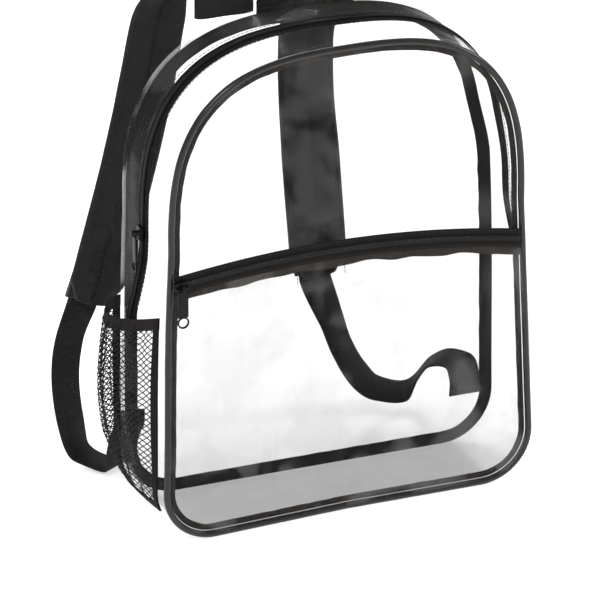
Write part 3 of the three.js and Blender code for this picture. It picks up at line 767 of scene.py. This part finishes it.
def flat_ring(name, amount, width, near, seed):
    """A band of tape inside the outline, a little uneven along its inner edge."""
    outer = whole_outline(amount, EDGE_STEPS)
    inner = whole_outline(amount + width, EDGE_STEPS)
    far = near + TAPE_THICKNESS
    rings = []
    for a, b in zip(outer, inner):
        out = (a - b).normalized()
        shift = TAPE_RIPPLE * noise.noise(Vector((b.x * 90, seed, b.y * 90)))
        c = b + out * shift
        half_way = a.lerp(c, 0.5)
        near_row = [Vector((p.x, near, p.y)) for p in (a, half_way, c)]
        far_row = [Vector((p.x, far, p.y)) for p in (c, half_way, a)]
        rings.append(near_row + far_row)
    return loft(name, rings, looped=True)


front_bead = bead("front_bead", BEAD, -HALF_DEPTH, 14, 0.06, 1.0)
dress(front_bead, PIPING, stands_for=["front_piping"])
back_welt = bead("back_welt", WELT, HALF_DEPTH, 12, 0.12, 4.0)
dress(back_welt, WELT_VINYL, stands_for=["back_piping"])

flange = flat_ring("front_flange", SEAM, FLANGE_WIDTH, -HALF_DEPTH + SHEET + GAP, 2.0)
dress(flange, FLANGE, stands_for=["front_binding"])
back_near = HALF_DEPTH - SHEET - GAP - WELT - TAPE_THICKNESS
back_tape = flat_ring("back_tape", SHEET + GAP, BINDING_WIDTH, back_near, 6.0)
dress(back_tape, TAPE, stands_for=["back_binding"])

# %% [markdown]
# ## One tree for stitches and teeth
# Stitches and zip teeth are the same idea: a small bar, again and again along
# a line. A tree in Geometry Nodes does it. It resamples the line to an even
# spacing and sets a bar on each point, turned by two directions that the line
# carries: the way along it, and the way out of the surface. The net's tree
# begins and ends in the same way, so a small class holds what both share.


# %% The repeat tree
BAR_SIDES = 6


class Tree:
    """A tree that starts from the edges of a mesh and ends with a finish."""

    def __init__(self, name, numbers):
        self.tree = bpy.data.node_groups.new(name, "GeometryNodeTree")
        self.link = self.tree.links.new
        self.socket("Geometry", "INPUT", "Geometry")
        for number in numbers:
            self.socket(number, "INPUT", "Float")
        self.socket("Finish", "INPUT", "Material")
        self.socket("Geometry", "OUTPUT", "Geometry")
        self.source = self.add("NodeGroupInput").outputs
        self.curve = self.add("GeometryNodeMeshToCurve")
        self.link(self.source["Geometry"], self.curve.inputs["Mesh"])

    def socket(self, name, way, kind):
        self.tree.interface.new_socket(name, in_out=way, socket_type=f"NodeSocket{kind}")

    def add(self, kind, **settings):
        node = self.tree.nodes.new(kind)
        for name, value in settings.items():
            setattr(node, name, value)
        return node

    def done(self, shape):
        real = self.add("GeometryNodeRealizeInstances")
        self.link(shape, real.inputs[0])
        finish = self.add("GeometryNodeSetMaterial")
        self.link(real.outputs[0], finish.inputs["Geometry"])
        self.link(self.source["Finish"], finish.inputs["Material"])
        self.link(finish.outputs[0], self.add("NodeGroupOutput").inputs[0])
        return self.tree


def repeat_tree():
    bar_tree = Tree("bars along a line", ("Spacing", "Radius", "Length", "Turn"))
    add, link, source = bar_tree.add, bar_tree.link, bar_tree.source
    steps = add("GeometryNodeResampleCurve", mode="LENGTH")
    link(bar_tree.curve.outputs[0], steps.inputs["Curve"])
    link(source["Spacing"], steps.inputs["Length"])
    along = add("GeometryNodeInputNamedAttribute", data_type="FLOAT_VECTOR")
    along.inputs["Name"].default_value = "along"
    out = add("GeometryNodeInputNamedAttribute", data_type="FLOAT_VECTOR")
    out.inputs["Name"].default_value = "out"
    turned = add("ShaderNodeVectorRotate", rotation_type="AXIS_ANGLE")
    link(along.outputs["Attribute"], turned.inputs["Vector"])
    link(out.outputs["Attribute"], turned.inputs["Axis"])
    link(source["Turn"], turned.inputs["Angle"])
    axes = add("FunctionNodeAxesToRotation", primary_axis="Z", secondary_axis="X")
    link(turned.outputs[0], axes.inputs["Primary Axis"])
    link(out.outputs["Attribute"], axes.inputs["Secondary Axis"])
    bar = add("GeometryNodeMeshCylinder")
    bar.inputs["Vertices"].default_value = BAR_SIDES
    link(source["Radius"], bar.inputs["Radius"])
    link(source["Length"], bar.inputs["Depth"])
    spots = add("GeometryNodeInstanceOnPoints")
    link(steps.outputs[0], spots.inputs["Points"])
    link(bar.outputs["Mesh"], spots.inputs["Instance"])
    link(axes.outputs[0], spots.inputs["Rotation"])
    return bar_tree.done(spots.outputs[0])


BARS = repeat_tree()


# %% Run the tree on a line
def baked(piece):
    """The evaluated mesh in place of the modifier."""
    graph = bpy.context.evaluated_depsgraph_get()
    mesh = bpy.data.meshes.new_from_object(piece.evaluated_get(graph))
    piece.modifiers.clear()
    old = piece.data
    piece.data = mesh
    bpy.data.meshes.remove(old)
    return piece


def grown(name, mesh, tree, asked):
    """A piece of the bag that a tree grows from a mesh."""
    piece = bpy.data.objects.new(name, mesh)
    scene.collection.objects.link(piece)
    modifier = piece.modifiers.new("tree", "NODES")
    modifier.node_group = tree
    for item in tree.interface.items_tree:
        if item.in_out == "INPUT" and item.name in asked:
            modifier[item.identifier] = asked[item.name]
    baked(piece)
    piece.data.shade_smooth()
    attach(piece, "bag")
    return piece


def bars(name, lines, sizes, finish, turn=0.0):
    """Bars along lines. Each line is a list of (place, way along, way out)."""
    mesh = bpy.data.meshes.new(name)
    points = [row[0] for line in lines for row in line]
    edges, start = [], 0
    for line in lines:
        edges += [(start + i, start + i + 1) for i in range(len(line) - 1)]
        start += len(line)
    mesh.from_pydata(points, edges, [])
    for column, label in ((1, "along"), (2, "out")):
        layer = mesh.attributes.new(label, "FLOAT_VECTOR", "POINT")
        rows = [row[column] for line in lines for row in line]
        for i, v in enumerate(rows):
            layer.data[i].vector = v
    return grown(name, mesh, BARS, {**sizes, "Turn": turn, "Finish": finish})


def directed(points, outs):
    """Adds the way along to places and ways out."""
    made = []
    for i, p in enumerate(points):
        before, after = points[max(0, i - 1)], points[min(len(points) - 1, i + 1)]
        made.append((p, (after - before).normalized(), outs[i]))
    return made


# %% [markdown]
# ## The main zip
# The zip is two halves of tape with a coil down the middle. The coil is a
# nylon spiral sewn to each half, and from outside it shows as a row of short
# bars across the tape.


# %% Main zip
def outward_at(line, i):
    before, after = line[max(0, i - 1)], line[min(len(line) - 1, i + 1)]
    along = (after - before).normalized()
    return Vector((along.y, 0, -along.x))


def on_wall(line, y, lift):
    """A line on the outside of the body's wall, at a depth."""
    places, outs = [], []
    for i, p in enumerate(line):
        out = outward_at(line, i)
        places.append(fitted(Vector((p.x, y, p.y))) + out * lift)
        outs.append(out)
    return directed(places, outs)


TAPE_SHEET = 0.8 * MM
COIL_WIDTH = 4.2 * MM
COIL_LIFT = 0.88 * MM  # the teeth's middle above the wall
TEETH = {"Spacing": 1.25 * MM, "Radius": 0.52 * MM, "Length": COIL_WIDTH}
TEETH_TURN = math.radians(82)
STITCH = {"Spacing": 3.6 * MM, "Radius": 0.28 * MM, "Length": 2.6 * MM}
STITCH_LIFT = 0.15 * MM
SPLIT = 0.25 * MM
halves = [
    strip("zip_tape_front", arch, ZIP_FRONT, ZIP_MIDDLE - SPLIT, 0.25 * MM, 3.3, TAPE_SHEET, 6),
    strip("zip_tape_back", arch, ZIP_MIDDLE + SPLIT, ZIP_BACK, 0.25 * MM, 7.3, TAPE_SHEET, 6),
]
for half in halves:
    dress(half, TAPE, stands_for=["main_zip_tape"])

coil_lines = [on_wall(arch, ZIP_MIDDLE, COIL_LIFT)]
teeth = bars("main_zip_teeth", coil_lines, TEETH, COIL, TEETH_TURN)
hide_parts("main_zip_coil")
OUTSIDE, INSIDE = 2.2 * MM, 2 * MM  # the stitches' rows from the tape's edges
seam_rows = (ZIP_FRONT - OUTSIDE, ZIP_BACK + OUTSIDE, ZIP_FRONT + INSIDE, ZIP_BACK - INSIDE)
seam_lines = [on_wall(arch, y, STITCH_LIFT) for y in seam_rows]
bars("main_zip_stitches", seam_lines, STITCH, THREAD)
print("teeth faces:", len(teeth.data.polygons))

# %% [markdown]
# ## The front pocket
# A second sheet covers the lower front. It stands off a little, most in its
# middle, and its upper edge is a zip in a shallow curve. Inside, the zip's
# raw tape edge shows as a paler wavy line.

# %% Pocket sheet
POCKET_END = 209 * MM
POCKET_RISE = 14 * MM
POCKET_TILT = 3 * MM
POCKET_TAPE = 15 * MM
POCKET_CROWN = 9 * MM
POCKET_PLACE = -HALF_DEPTH - 3 * SHEET
TOP_STEPS = 60  # places along the sheet's upper edge
BAND_ROWS = 4  # strips across half of the zip's tape


def pocket_height(x):
    across = x / (SHOULDER_WIDTH / 2)
    return POCKET_END + POCKET_RISE * (1 - across**2) - POCKET_TILT * (1 + across)


def pocket_forward(x, z):
    across = max(0.0, 1 - (x / (BASE_WIDTH / 2)) ** 2)
    high = clamped(z / pocket_height(x))
    swell = math.sin(math.pi * min(1.0, 0.12 + 0.7 * high)) ** 1.2
    return POCKET_CROWN * across**0.7 * swell


def pocket_outline(count=240):
    lower = base_line(160, POCKET_END - POCKET_TAPE / 2, SEAM)
    reach = lower[-1].x
    top = []
    for i in range(1, TOP_STEPS):
        x = reach - 2 * reach * i / TOP_STEPS
        top.append(Vector((x, pocket_height(x) - POCKET_TAPE / 2 - GAP)))
    lower[0].y = pocket_height(-reach) - POCKET_TAPE / 2 - GAP
    lower[-1].y = pocket_height(reach) - POCKET_TAPE / 2 - GAP
    return even(lower + top, count, True)


pocket_line = pocket_outline()
pocket = panel("pocket_sheet", pocket_line, POCKET_PLACE, pocket_forward, 1.1 * MM, 9.7, 30)
dress(pocket, POCKET_VINYL, stands_for=["pocket_panel"])
flat_area(pocket_line)


# %% Pocket zip
def pocket_band(name, low, high, near, thickness, wave=0.0, count=150):
    """A band along the pocket's zip, between two heights from its middle."""
    reach = half_width(POCKET_END) - 2 * BEAD - GAP
    rings = []
    for i in range(count):
        x = -reach + 2 * reach * i / (count - 1)
        z = pocket_height(x)
        y = POCKET_PLACE - pocket_forward(x, z) + near
        bottom = z + low + wave * noise.noise(Vector((x * 55, low * 900, 0.3)))
        top = z + high
        rows = [bottom + (top - bottom) * k / BAND_ROWS for k in range(BAND_ROWS + 1)]
        near_side = [Vector((x, y, r)) for r in rows]
        rings.append(near_side + [Vector((x, y + thickness, r)) for r in reversed(rows)])
    return loft(name, rings)


HALF_TAPE = POCKET_TAPE / 2
upper = pocket_band("pocket_tape_upper", SPLIT, HALF_TAPE, 0, TAPE_SHEET)
lower = pocket_band("pocket_tape_lower", -HALF_TAPE, -SPLIT, 0, TAPE_SHEET)
for half in (upper, lower):
    dress(half, TAPE, stands_for=["pocket_zip_tape"])
INNER_EDGE = 6.5 * MM
inner = pocket_band(
    "pocket_tape_inner",
    -HALF_TAPE - INNER_EDGE,
    -HALF_TAPE + 1.5 * MM,
    SHEET + 2 * GAP,
    0.4 * MM,
    2.2 * MM,
)
dress(inner, FLANGE)


def pocket_line_at(offset, lift, count=160):
    """A line along the pocket's zip, on its front."""
    reach = half_width(POCKET_END) - 2 * BEAD - 2 * MM
    places, outs = [], []
    for i in range(count):
        x = -reach + 2 * reach * i / (count - 1)
        z = pocket_height(x)
        y = POCKET_PLACE - pocket_forward(x, z) - lift
        places.append(fitted(Vector((x, y, z + offset))))
        outs.append(Vector((0, -1, 0)))
    return directed(places, outs)


pocket_coil = [pocket_line_at(0, COIL_LIFT)]
pocket_teeth = bars("pocket_zip_teeth", pocket_coil, TEETH, COIL, TEETH_TURN)
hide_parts("pocket_zip_coil")
EDGE_ROW = HALF_TAPE - 1.4 * MM
edge_lines = [pocket_line_at(row, STITCH_LIFT) for row in (EDGE_ROW, -EDGE_ROW)]
bars("pocket_zip_stitches", edge_lines, STITCH, THREAD)

# %% [markdown]
# ## Sliders, pulls and locks
# These are hard pieces whose shape is already right, so each one is copied,
# its corners are merged, and a small bevel takes the sharpness off its edges.


# %% Soften the hard pieces
FLAT_CORNER = math.radians(2)  # below this two faces are one
SHARP_CORNER = math.radians(40)  # above this an edge is bevelled


def softened(node, name, radius, material, slot, body):
    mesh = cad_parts[node].data.copy()
    work = bmesh.new()
    work.from_mesh(mesh)
    bmesh.ops.remove_doubles(work, verts=work.verts, dist=1e-6)
    bmesh.ops.dissolve_limit(work, angle_limit=FLAT_CORNER, verts=work.verts, edges=work.edges)
    work.to_mesh(mesh)
    work.free()
    piece = bpy.data.objects.new(name, mesh)
    scene.collection.objects.link(piece)
    modifier = piece.modifiers.new("soft edges", "BEVEL")
    modifier.width = radius
    modifier.segments = 2
    modifier.limit_method = "ANGLE"
    modifier.angle_limit = SHARP_CORNER
    modifier.use_clamp_overlap = True
    baked(piece)
    piece.data.shade_smooth()
    piece.data.set_sharp_from_angle(angle=SHARP_CORNER)
    return dress(piece, material, body, [node])


HARD_PIECES = [
    ("main_zip_slider", "main_slider_body", 0.4 * MM, METAL, "black_metal", "bag"),
    ("main_zip_pull", "main_pull_tab", 0.25 * MM, METAL, "black_metal", "main_pull"),
    ("pocket_zip_slider", "pocket_slider_body", 0.4 * MM, METAL, "black_metal", "bag"),
    ("pocket_zip_pull", "pocket_pull_tab", 0.25 * MM, METAL, "black_metal", "pocket_pull"),
    ("left_ladder_lock", "left_lock", 0.6 * MM, PLASTIC, "black_plastic", "bag"),
    ("right_ladder_lock", "right_lock", 0.6 * MM, PLASTIC, "black_plastic", "bag"),
]
for row in HARD_PIECES:
    softened(*row)

# %% [markdown]
# ## The net pocket
# The net is a grid of diamonds that bulges from the side wall. A mesh of edges
# alone is drawn on the pocket's surface, and a tree in Geometry Nodes turns
# each edge into a thin cord. An elastic band gathers the top, and tapes bind
# the foot and the two upright edges.

# %% Net surface
NET_BOTTOM = 27 * MM
NET_FRONT_TOP = 182 * MM
NET_BACK_TOP = 173 * MM
NET_BULGE = 9 * MM
NET_LEAN = 2.2
ELASTIC_BULGE = 12 * MM
ELASTIC_HEIGHT = 9 * MM
ELASTIC_SAG = 6 * MM
NET_THICKNESS = 1 * MM
NET_STAND_OFF = 1.8 * MM
NET_BINDING = 6 * MM


def net_point(along, high, out):
    """A place on the net: its share from front to back, and up the side."""
    near = -HALF_DEPTH + 2 * BEAD + GAP
    far = HALF_DEPTH - 2 * WELT - GAP
    sag = ELASTIC_SAG * math.sin(math.pi * along)
    top = NET_FRONT_TOP + (NET_BACK_TOP - NET_FRONT_TOP) * along - sag
    z = NET_BOTTOM + (top - NET_BOTTOM) * high
    belly = NET_BULGE + (ELASTIC_BULGE - NET_BULGE) * high
    belly *= min(1.0, 3 * high) ** 0.7
    round_off = max(0.0, math.sin(math.pi * along**NET_LEAN)) ** 0.6
    x = -half_width(z) - NET_STAND_OFF - belly * round_off - out
    return Vector((x, near + (far - near) * along, z))


def net_tree():
    cord_tree = Tree("edges to cords", ("Radius",))
    ring = cord_tree.add("GeometryNodeCurvePrimitiveCircle")
    ring.inputs["Resolution"].default_value = CORD_SIDES
    cord_tree.link(cord_tree.source["Radius"], ring.inputs["Radius"])
    cord = cord_tree.add("GeometryNodeCurveToMesh")
    cord.inputs["Fill Caps"].default_value = True
    cord_tree.link(cord_tree.curve.outputs[0], cord.inputs["Curve"])
    cord_tree.link(ring.outputs[0], cord.inputs["Profile Curve"])
    return cord_tree.done(cord.outputs[0])


# %% Net
CELLS_ALONG = 30
CELLS_UP = 60
CORD_RADIUS = 0.42 * MM
CORD_SIDES = 5
GATHER = 2.6 * MM


def net_cord_point(i, j):
    along, high = i / CELLS_ALONG, j / CELLS_UP
    fold = GATHER * math.sin(along * 37 + 2 * math.sin(high * 5)) * math.sin(math.pi * along)
    fold *= 0.35 + 0.65 * high
    bound = ELASTIC_HEIGHT / (NET_BACK_TOP - NET_BOTTOM) * 0.6
    p = net_point(along, 0.02 + (0.98 - bound) * high, NET_THICKNESS / 2 + max(-1 * MM, fold))
    return fitted(p)


points, edges, index = [], [], {}
for i in range(CELLS_ALONG + 1):
    for j in range(CELLS_UP + 1):
        if (i + j) % 2 == 0:
            index[i, j] = len(points)
            points.append(net_cord_point(i, j))
for (i, j), start in index.items():
    for k in (j - 1, j + 1):
        if (i + 1, k) in index:
            edges.append((start, index[i + 1, k]))
net_mesh = bpy.data.meshes.new("net_cords")
net_mesh.from_pydata(points, edges, [])
asked = {"Radius": CORD_RADIUS, "Finish": NET}
net = grown("net_cords", net_mesh, net_tree(), asked)
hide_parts("net_pocket")
print("net faces:", len(net.data.polygons))


# %% Elastic and bindings of the net
NET_COLUMNS = 60
UPRIGHT_ROWS = 40
UPRIGHT_THICKNESS = 1.7 * MM
BAND_THICKNESS = 1.5 * MM


def net_band(name, low, high, rows, ripple):
    rings = []
    for i in range(NET_COLUMNS + 1):
        along = i / NET_COLUMNS
        wave = ripple * math.sin(along * 75) * math.sin(math.pi * along)
        shares = [low + (high - low) * k / rows for k in range(rows + 1)]
        outer = [net_point(along, s, BAND_THICKNESS + wave) for s in shares]
        inner_side = [net_point(along, s, wave) for s in reversed(shares)]
        rings.append(outer + inner_side)
    return loft(name, rings)


net_height = NET_BACK_TOP - NET_BOTTOM
elastic = net_band("net_elastic", 1 - ELASTIC_HEIGHT / net_height, 1, 5, 0.5 * MM)
dress(elastic, ELASTIC, stands_for=["net_pocket_elastic"])
foot = net_band("net_foot_tape", 0, NET_BINDING / net_height, 3, 0.1 * MM)
dress(foot, TAPE, stands_for=["net_pocket_binding"])


def net_upright(name, along_low, along_high):
    """A tape up one upright edge of the net, where it is sewn to the wall."""
    rings = []
    for j in range(UPRIGHT_ROWS + 1):
        high = j / UPRIGHT_ROWS
        a = [net_point(s, high, UPRIGHT_THICKNESS) for s in (along_low, along_high)]
        b = [net_point(s, high, 0.2 * MM) for s in (along_high, along_low)]
        rings.append(a + b)
    return loft(name, rings)


dress(net_upright("net_front_tape", 0.0, 0.05), TAPE)
dress(net_upright("net_back_tape", 0.97, 1.0), TAPE)

# %% [markdown]
# ## Ribbons
# Straps, webbing and the handle are ribbons: a section swept along a smooth curve, whose width
# turns from row to row. The rows were set in the model, and they are repeated here.


# %% Smooth curve through rows
def smooth(rows, steps):
    """Places, ways along and ways across on a centripetal spline."""
    spots = [row[0] for row in rows]
    spots = [2 * spots[0] - spots[1], *spots, 2 * spots[-1] - spots[-2]]
    made = []
    segments = len(rows) - 1
    for i in range(segments * steps + 1):
        s = min(i // steps, segments - 1)
        t = i / steps - s
        p0, p1, p2, p3 = spots[s : s + 4]
        d0, d1, d2 = [max(1e-5, (b - a).length) ** 0.5 for a, b in ((p0, p1), (p1, p2), (p2, p3))]
        m1 = ((p1 - p0) / d0 - (p2 - p0) / (d0 + d1) + (p2 - p1) / d1) * d1
        m2 = ((p2 - p1) / d1 - (p3 - p1) / (d1 + d2) + (p3 - p2) / d2) * d1
        c2 = -3 * p1 + 3 * p2 - 2 * m1 - m2
        c3 = 2 * p1 - 2 * p2 + m1 + m2
        at = p1 + m1 * t + c2 * t * t + c3 * t**3
        along = (m1 + 2 * c2 * t + 3 * c3 * t * t).normalized()
        across = rows[s][1].lerp(rows[s + 1][1], t)
        across = (across - along * across.dot(along)).normalized()
        made.append((at, along, across))
    return made


def ribbon(name, rows, width, thickness, section, steps=10, ripple=0.0, seed=0.0, end_width=1.0):
    """A section along a smooth curve. section is (share of width, of thickness)."""
    rings = []
    path = smooth(rows, steps)
    for i, (at, along, across) in enumerate(path):
        out = along.cross(across)
        left = min(1.0, (len(path) - 1 - i) / (TAPER_RINGS * steps))
        kept = end_width + (1 - end_width) * left
        ring = []
        for w, t in section:
            p = at + across * (w * kept * width / 2) + out * (t * thickness / 2)
            bulge = ripple * noise.noise(p * 70 + Vector((seed, 0, 0)))
            ring.append(p + out * bulge * (1 if t > 0 else -1) * (1 - 0.6 * abs(w)))
        rings.append(ring)
    return loft(name, rings, sharp=60)


def table_rows(table):
    """Rows of a table: x by half the base's width, y by the depth, z by the height."""
    made = []
    for x, y, z, *across in table:
        at = Vector((x * BASE_WIDTH / 2, HALF_DEPTH + y * DEPTH, z * HEIGHT))
        made.append((at, Vector(across)))
    return made


# %% The model's rows
LEFT_STRAP = [
    [-0.4, 0.125, 0.985, 1, 0, 0],
    [-0.4, 0.125, 1.01, 1, 0, 0],
    [-0.41, 0.165, 1.045, 0.97, 0.2, 0.1],
    [-0.45, 0.25, 1.07, 0.85, 0.5, 0],
    [-0.51, 0.35, 1.075, 0.7, 0.65, 0],
    [-0.57, 0.43, 1.05, 0.75, 0.55, 0],
    [-0.625, 0.48, 1.01, 0.9, 0.35, 0],
    [-0.656, 0.5, 0.965, 1, 0.15, 0.1],
    [-0.721, 0.506, 0.832, 1, 0.08, 0.2],
    [-0.794, 0.506, 0.703, 1, 0.08, 0.2],
    [-0.9, 0.506, 0.545, 1, 0.08, 0.2],
    [-0.97, 0.506, 0.451, 1, 0.08, 0.2],
    [-1.03, 0.506, 0.387, 1, 0.08, 0.2],
]
RIGHT_STRAP = [
    [0.44, 0.125, 0.985, 1, 0, 0],
    [0.44, 0.125, 1.01, 1, 0, 0],
    [0.42, 0.18, 1.04, 1, 0.1, 0],
    [0.37, 0.28, 1.055, 1, 0.15, 0],
    [0.28, 0.42, 1.03, 1, 0.1, 0],
    [0.17, 0.5, 0.98, 1, 0, 0],
    [0.105, 0.5, 0.91, 1, 0, 0],
    [0.093, 0.5, 0.84, 1, 0, 0],
    [0.1135, 0.51, 0.65, 1, 0, 0],
    [0.157, 0.55, 0.45, 1, 0, 0],
    [0.18, 0.575, 0.36, 1, 0, 0],
]
LEFT_WEBBING = [
    [-1.115, 0.7, 0.297, 1, 0.2, 0],
    [-1.15, 0.69, 0.22, 1, 0.25, 0],
    [-1.125, 0.75, 0.11, 0.95, 0.35, 0],
    [-1.06, 0.82, 0.03, 0.8, 0.6, 0],
    [-0.99, 0.7, 0.014, 0.75, 0.65, 0],
    [-0.93, 0.54, 0.016, 0.8, 0.5, 0],
    [-0.935, 0.34, 0.075, 1, 0.1, 0],
    [-0.945, 0.16, 0.125, 1, 0, 0],
    [-0.945, 0.06, 0.15, 1, 0, 0],
    [-0.94, 0.055, 0.185, 1, 0, 0],
]
RIGHT_WEBBING = [
    [0.277, 0.74, 0.245, 0.85, 0.45, 0.1],
    [0.348, 0.78, 0.17, 0.8, 0.55, 0.1],
    [0.46, 0.85, 0.0935, 0.75, 0.6, 0.25],
    [0.574, 0.91, 0.051, 0.6, 0.75, 0.25],
    [0.727, 0.875, 0.037, 0.4, 0.85, 0.3],
    [0.775, 0.65, 0.105, 0.7, 0.5, 0.5],
    [0.8, 0.34, 0.155, 0.9, 0.2, 0.35],
    [0.85, 0.12, 0.16, 1, 0, 0.1],
    [0.865, 0.055, 0.13, 1, 0, 0],
    [0.865, 0.055, 0.095, 1, 0, 0],
]
HANDLE_HALF = [
    [-1, 0.047, -0.45, 1, 0, 0],
    [-1, 0.047, 0.12, 1, 0, 0],
    [-1.02, 0.055, 0.4, 1, 0.6, 0],
    [-0.95, 0.07, 0.7, 0.3, 1, 0],
    [-0.6, 0.08, 0.95, 0, 1, 0],
]
HANDLE = [*HANDLE_HALF, [0, 0.08, 1.05, 0, 1, 0]]
HANDLE += [[-x, y, z, -wide, deep, high] for x, y, z, wide, deep, high in reversed(HANDLE_HALF)]

# %% Sections
STRAP_WIDTH = 45.5 * MM
STRAP_END_WIDTH = 0.55
TAPER_RINGS = 2 / 3
STRAP_THICKNESS = 8 * MM
WEB_WIDTH = 25 * MM
WEB_THICKNESS = 1.6 * MM
HANDLE_SPAN = 52 * MM
HANDLE_RISE = 34 * MM
LOCK_LENGTH = 28 * MM
LOCK_THICKNESS = 3 * MM
LOCK_SLOT = 5.6 * MM

PAD_EDGE = [(0.97, 0.5), (0.86, 0.82), (0.55, 1)]
PAD_FRONT = [*PAD_EDGE, (0.25, 0.92), (0.06, 0.6)]
PAD = [(1, 0), *PAD_FRONT, (0, 0.45), *((-w, t) for w, t in reversed(PAD_FRONT)), (-1, 0)]
PAD += [(-w, -t) for w, t in PAD_EDGE] + [(0, -0.85)]
PAD += [(w, -t) for w, t in reversed(PAD_EDGE)]
BAND = [(-1, -0.5), (-0.97, -1), (0, -1), (0.97, -1), (1, -0.5), (1, 0.5), (0.97, 1), (0, 1)]
BAND += [(-0.97, 1), (-1, 0.5)]


def strap_end(rows):
    """At a strap's lower end: place, way down, way across and way back."""
    at, across = rows[-1]
    down = (at - rows[-2][0]).normalized()
    across = (across - down * across.dot(down)).normalized()
    behind = down.cross(across).normalized()
    if behind.y < 0:
        behind.negate()
    return at, down, across, behind


def from_end(end, down, behind):
    at, way_down, across, way_back = end
    return at + way_down * down + way_back * behind, across


LOCK_DOWN = -LOCK_LENGTH / 2
STAND_OFF = LOCK_THICKNESS / 2 + WEB_THICKNESS / 2 + 2 * GAP
LOCK_BACK = STRAP_THICKNESS / 2 + WEB_THICKNESS / 2 + 2 * GAP + STAND_OFF
TAB_REACH = 59 * MM


def through_slot(end, slot):
    """From a lock's near face, through a slot, to its far face."""
    return [
        from_end(end, slot - LOCK_SLOT / 2, LOCK_BACK - STAND_OFF),
        from_end(end, slot, LOCK_BACK),
        from_end(end, slot + LOCK_SLOT / 2, LOCK_BACK + STAND_OFF),
    ]


def tab_rows(end):
    """The tie that holds a lock, through its upper slot."""
    near = LOCK_BACK - STAND_OFF
    slot = LOCK_DOWN - LOCK_LENGTH / 4
    return [
        from_end(end, -TAB_REACH, near),
        from_end(end, -0.7 * TAB_REACH, near),
        from_end(end, slot - LOCK_SLOT, near),
        *through_slot(end, slot),
        from_end(end, slot + LOCK_SLOT, LOCK_BACK + STAND_OFF + GAP),
    ]


def webbing_start(end):
    """Where the webbing threads the lock's lower slot."""
    slot = LOCK_DOWN + LOCK_LENGTH / 4
    return [
        from_end(end, LOCK_DOWN, LOCK_BACK - STAND_OFF),
        *through_slot(end, slot),
        from_end(end, LOCK_LENGTH / 4, LOCK_BACK + STAND_OFF + GAP),
    ]


# %% [markdown]
# ## Straps
# Each strap is a foam pad in a thin cover, quilted by one line of stitches
# down its middle. The cover puckers there. At its lower end a square of
# stitches with a cross in it holds the tie of the ladder lock.


# %% Stitch lines on a strap
LINE_STEPS = 12  # places between two rows of a strap's table
BOX_STEPS = 8  # places along one line of the square
BOX_UP = 26 * MM


def strap_line(rows, w, lift):
    """A line along a strap's front, at a share of its half width."""
    places, outs = [], []
    for at, along, across in smooth(rows, LINE_STEPS):
        out = along.cross(across)
        spot = at + across * (w * STRAP_WIDTH / 2) + out * lift
        places.append(fitted(spot))
        outs.append(out)
    return directed(places, outs)


def box_lines(end, side, length, lift):
    """A square with a cross, a little above a strap's lower end."""
    corners = [(-side, 0), (side, 0), (side, length), (-side, length)]
    pairs = [(0, 1), (1, 2), (2, 3), (3, 0), (0, 2), (1, 3)]
    at, down, across, behind = end
    lines = []
    for a, b in pairs:
        places = []
        for k in range(BOX_STEPS + 1):
            x = corners[a][0] + (corners[b][0] - corners[a][0]) * k / BOX_STEPS
            z = corners[a][1] + (corners[b][1] - corners[a][1]) * k / BOX_STEPS
            places.append(fitted(at + across * x - down * (z + BOX_UP) - behind * lift))
        lines.append(directed(places, [-behind] * len(places)))
    return lines


# %% Both straps
PAD_RIPPLE = 1.3 * MM
STITCH_ROWS = [(0, 0.27), (-0.84, 0.43), (0.84, 0.43)]  # shares of half width, of thickness
TABLES = [("left", LEFT_STRAP, LEFT_WEBBING), ("right", RIGHT_STRAP, RIGHT_WEBBING)]
for side, strap_table, webbing_table in TABLES:
    rows = table_rows(strap_table)
    end = strap_end(rows)
    pucker = {"ripple": PAD_RIPPLE, "seed": len(side), "end_width": STRAP_END_WIDTH}
    pad = ribbon(f"{side}_pad", rows, STRAP_WIDTH, STRAP_THICKNESS, PAD, 14, **pucker)
    smoother = pad.modifiers.new("round", "SUBSURF")
    smoother.levels = smoother.render_levels = 1
    baked(pad)
    dress(pad, COVER, stands_for=[f"{side}_strap"])
    tie = ribbon(f"{side}_tie", tab_rows(end), WEB_WIDTH, WEB_THICKNESS, BAND, 8)
    dress(tie, WEBBING, stands_for=[f"{side}_strap_tab"])
    strand_rows = webbing_start(end) + table_rows(webbing_table)
    strand = ribbon(f"{side}_strand", strand_rows, WEB_WIDTH, WEB_THICKNESS, BAND, 10)
    dress(strand, WEBBING, stands_for=[f"{side}_webbing"])
    lines = [strap_line(rows, w, STRAP_THICKNESS * lift) for w, lift in STITCH_ROWS]
    lines += box_lines(end, WEB_WIDTH * 0.4, WEB_WIDTH * 0.8, STRAP_THICKNESS * 0.5)
    bars(f"{side}_strap_stitches", lines, STITCH, THREAD)
print("straps made")

# %% Handle
handle_rows = []
for x, y, z, *across in HANDLE:
    at = Vector((x * HANDLE_SPAN / 2, HALF_DEPTH + y * DEPTH, HEIGHT + z * HANDLE_RISE))
    handle_rows.append((at, Vector(across)))
handle = ribbon("handle_webbing", handle_rows, WEB_WIDTH, WEB_THICKNESS, BAND, 12)
dress(handle, WEBBING, stands_for=["handle"])
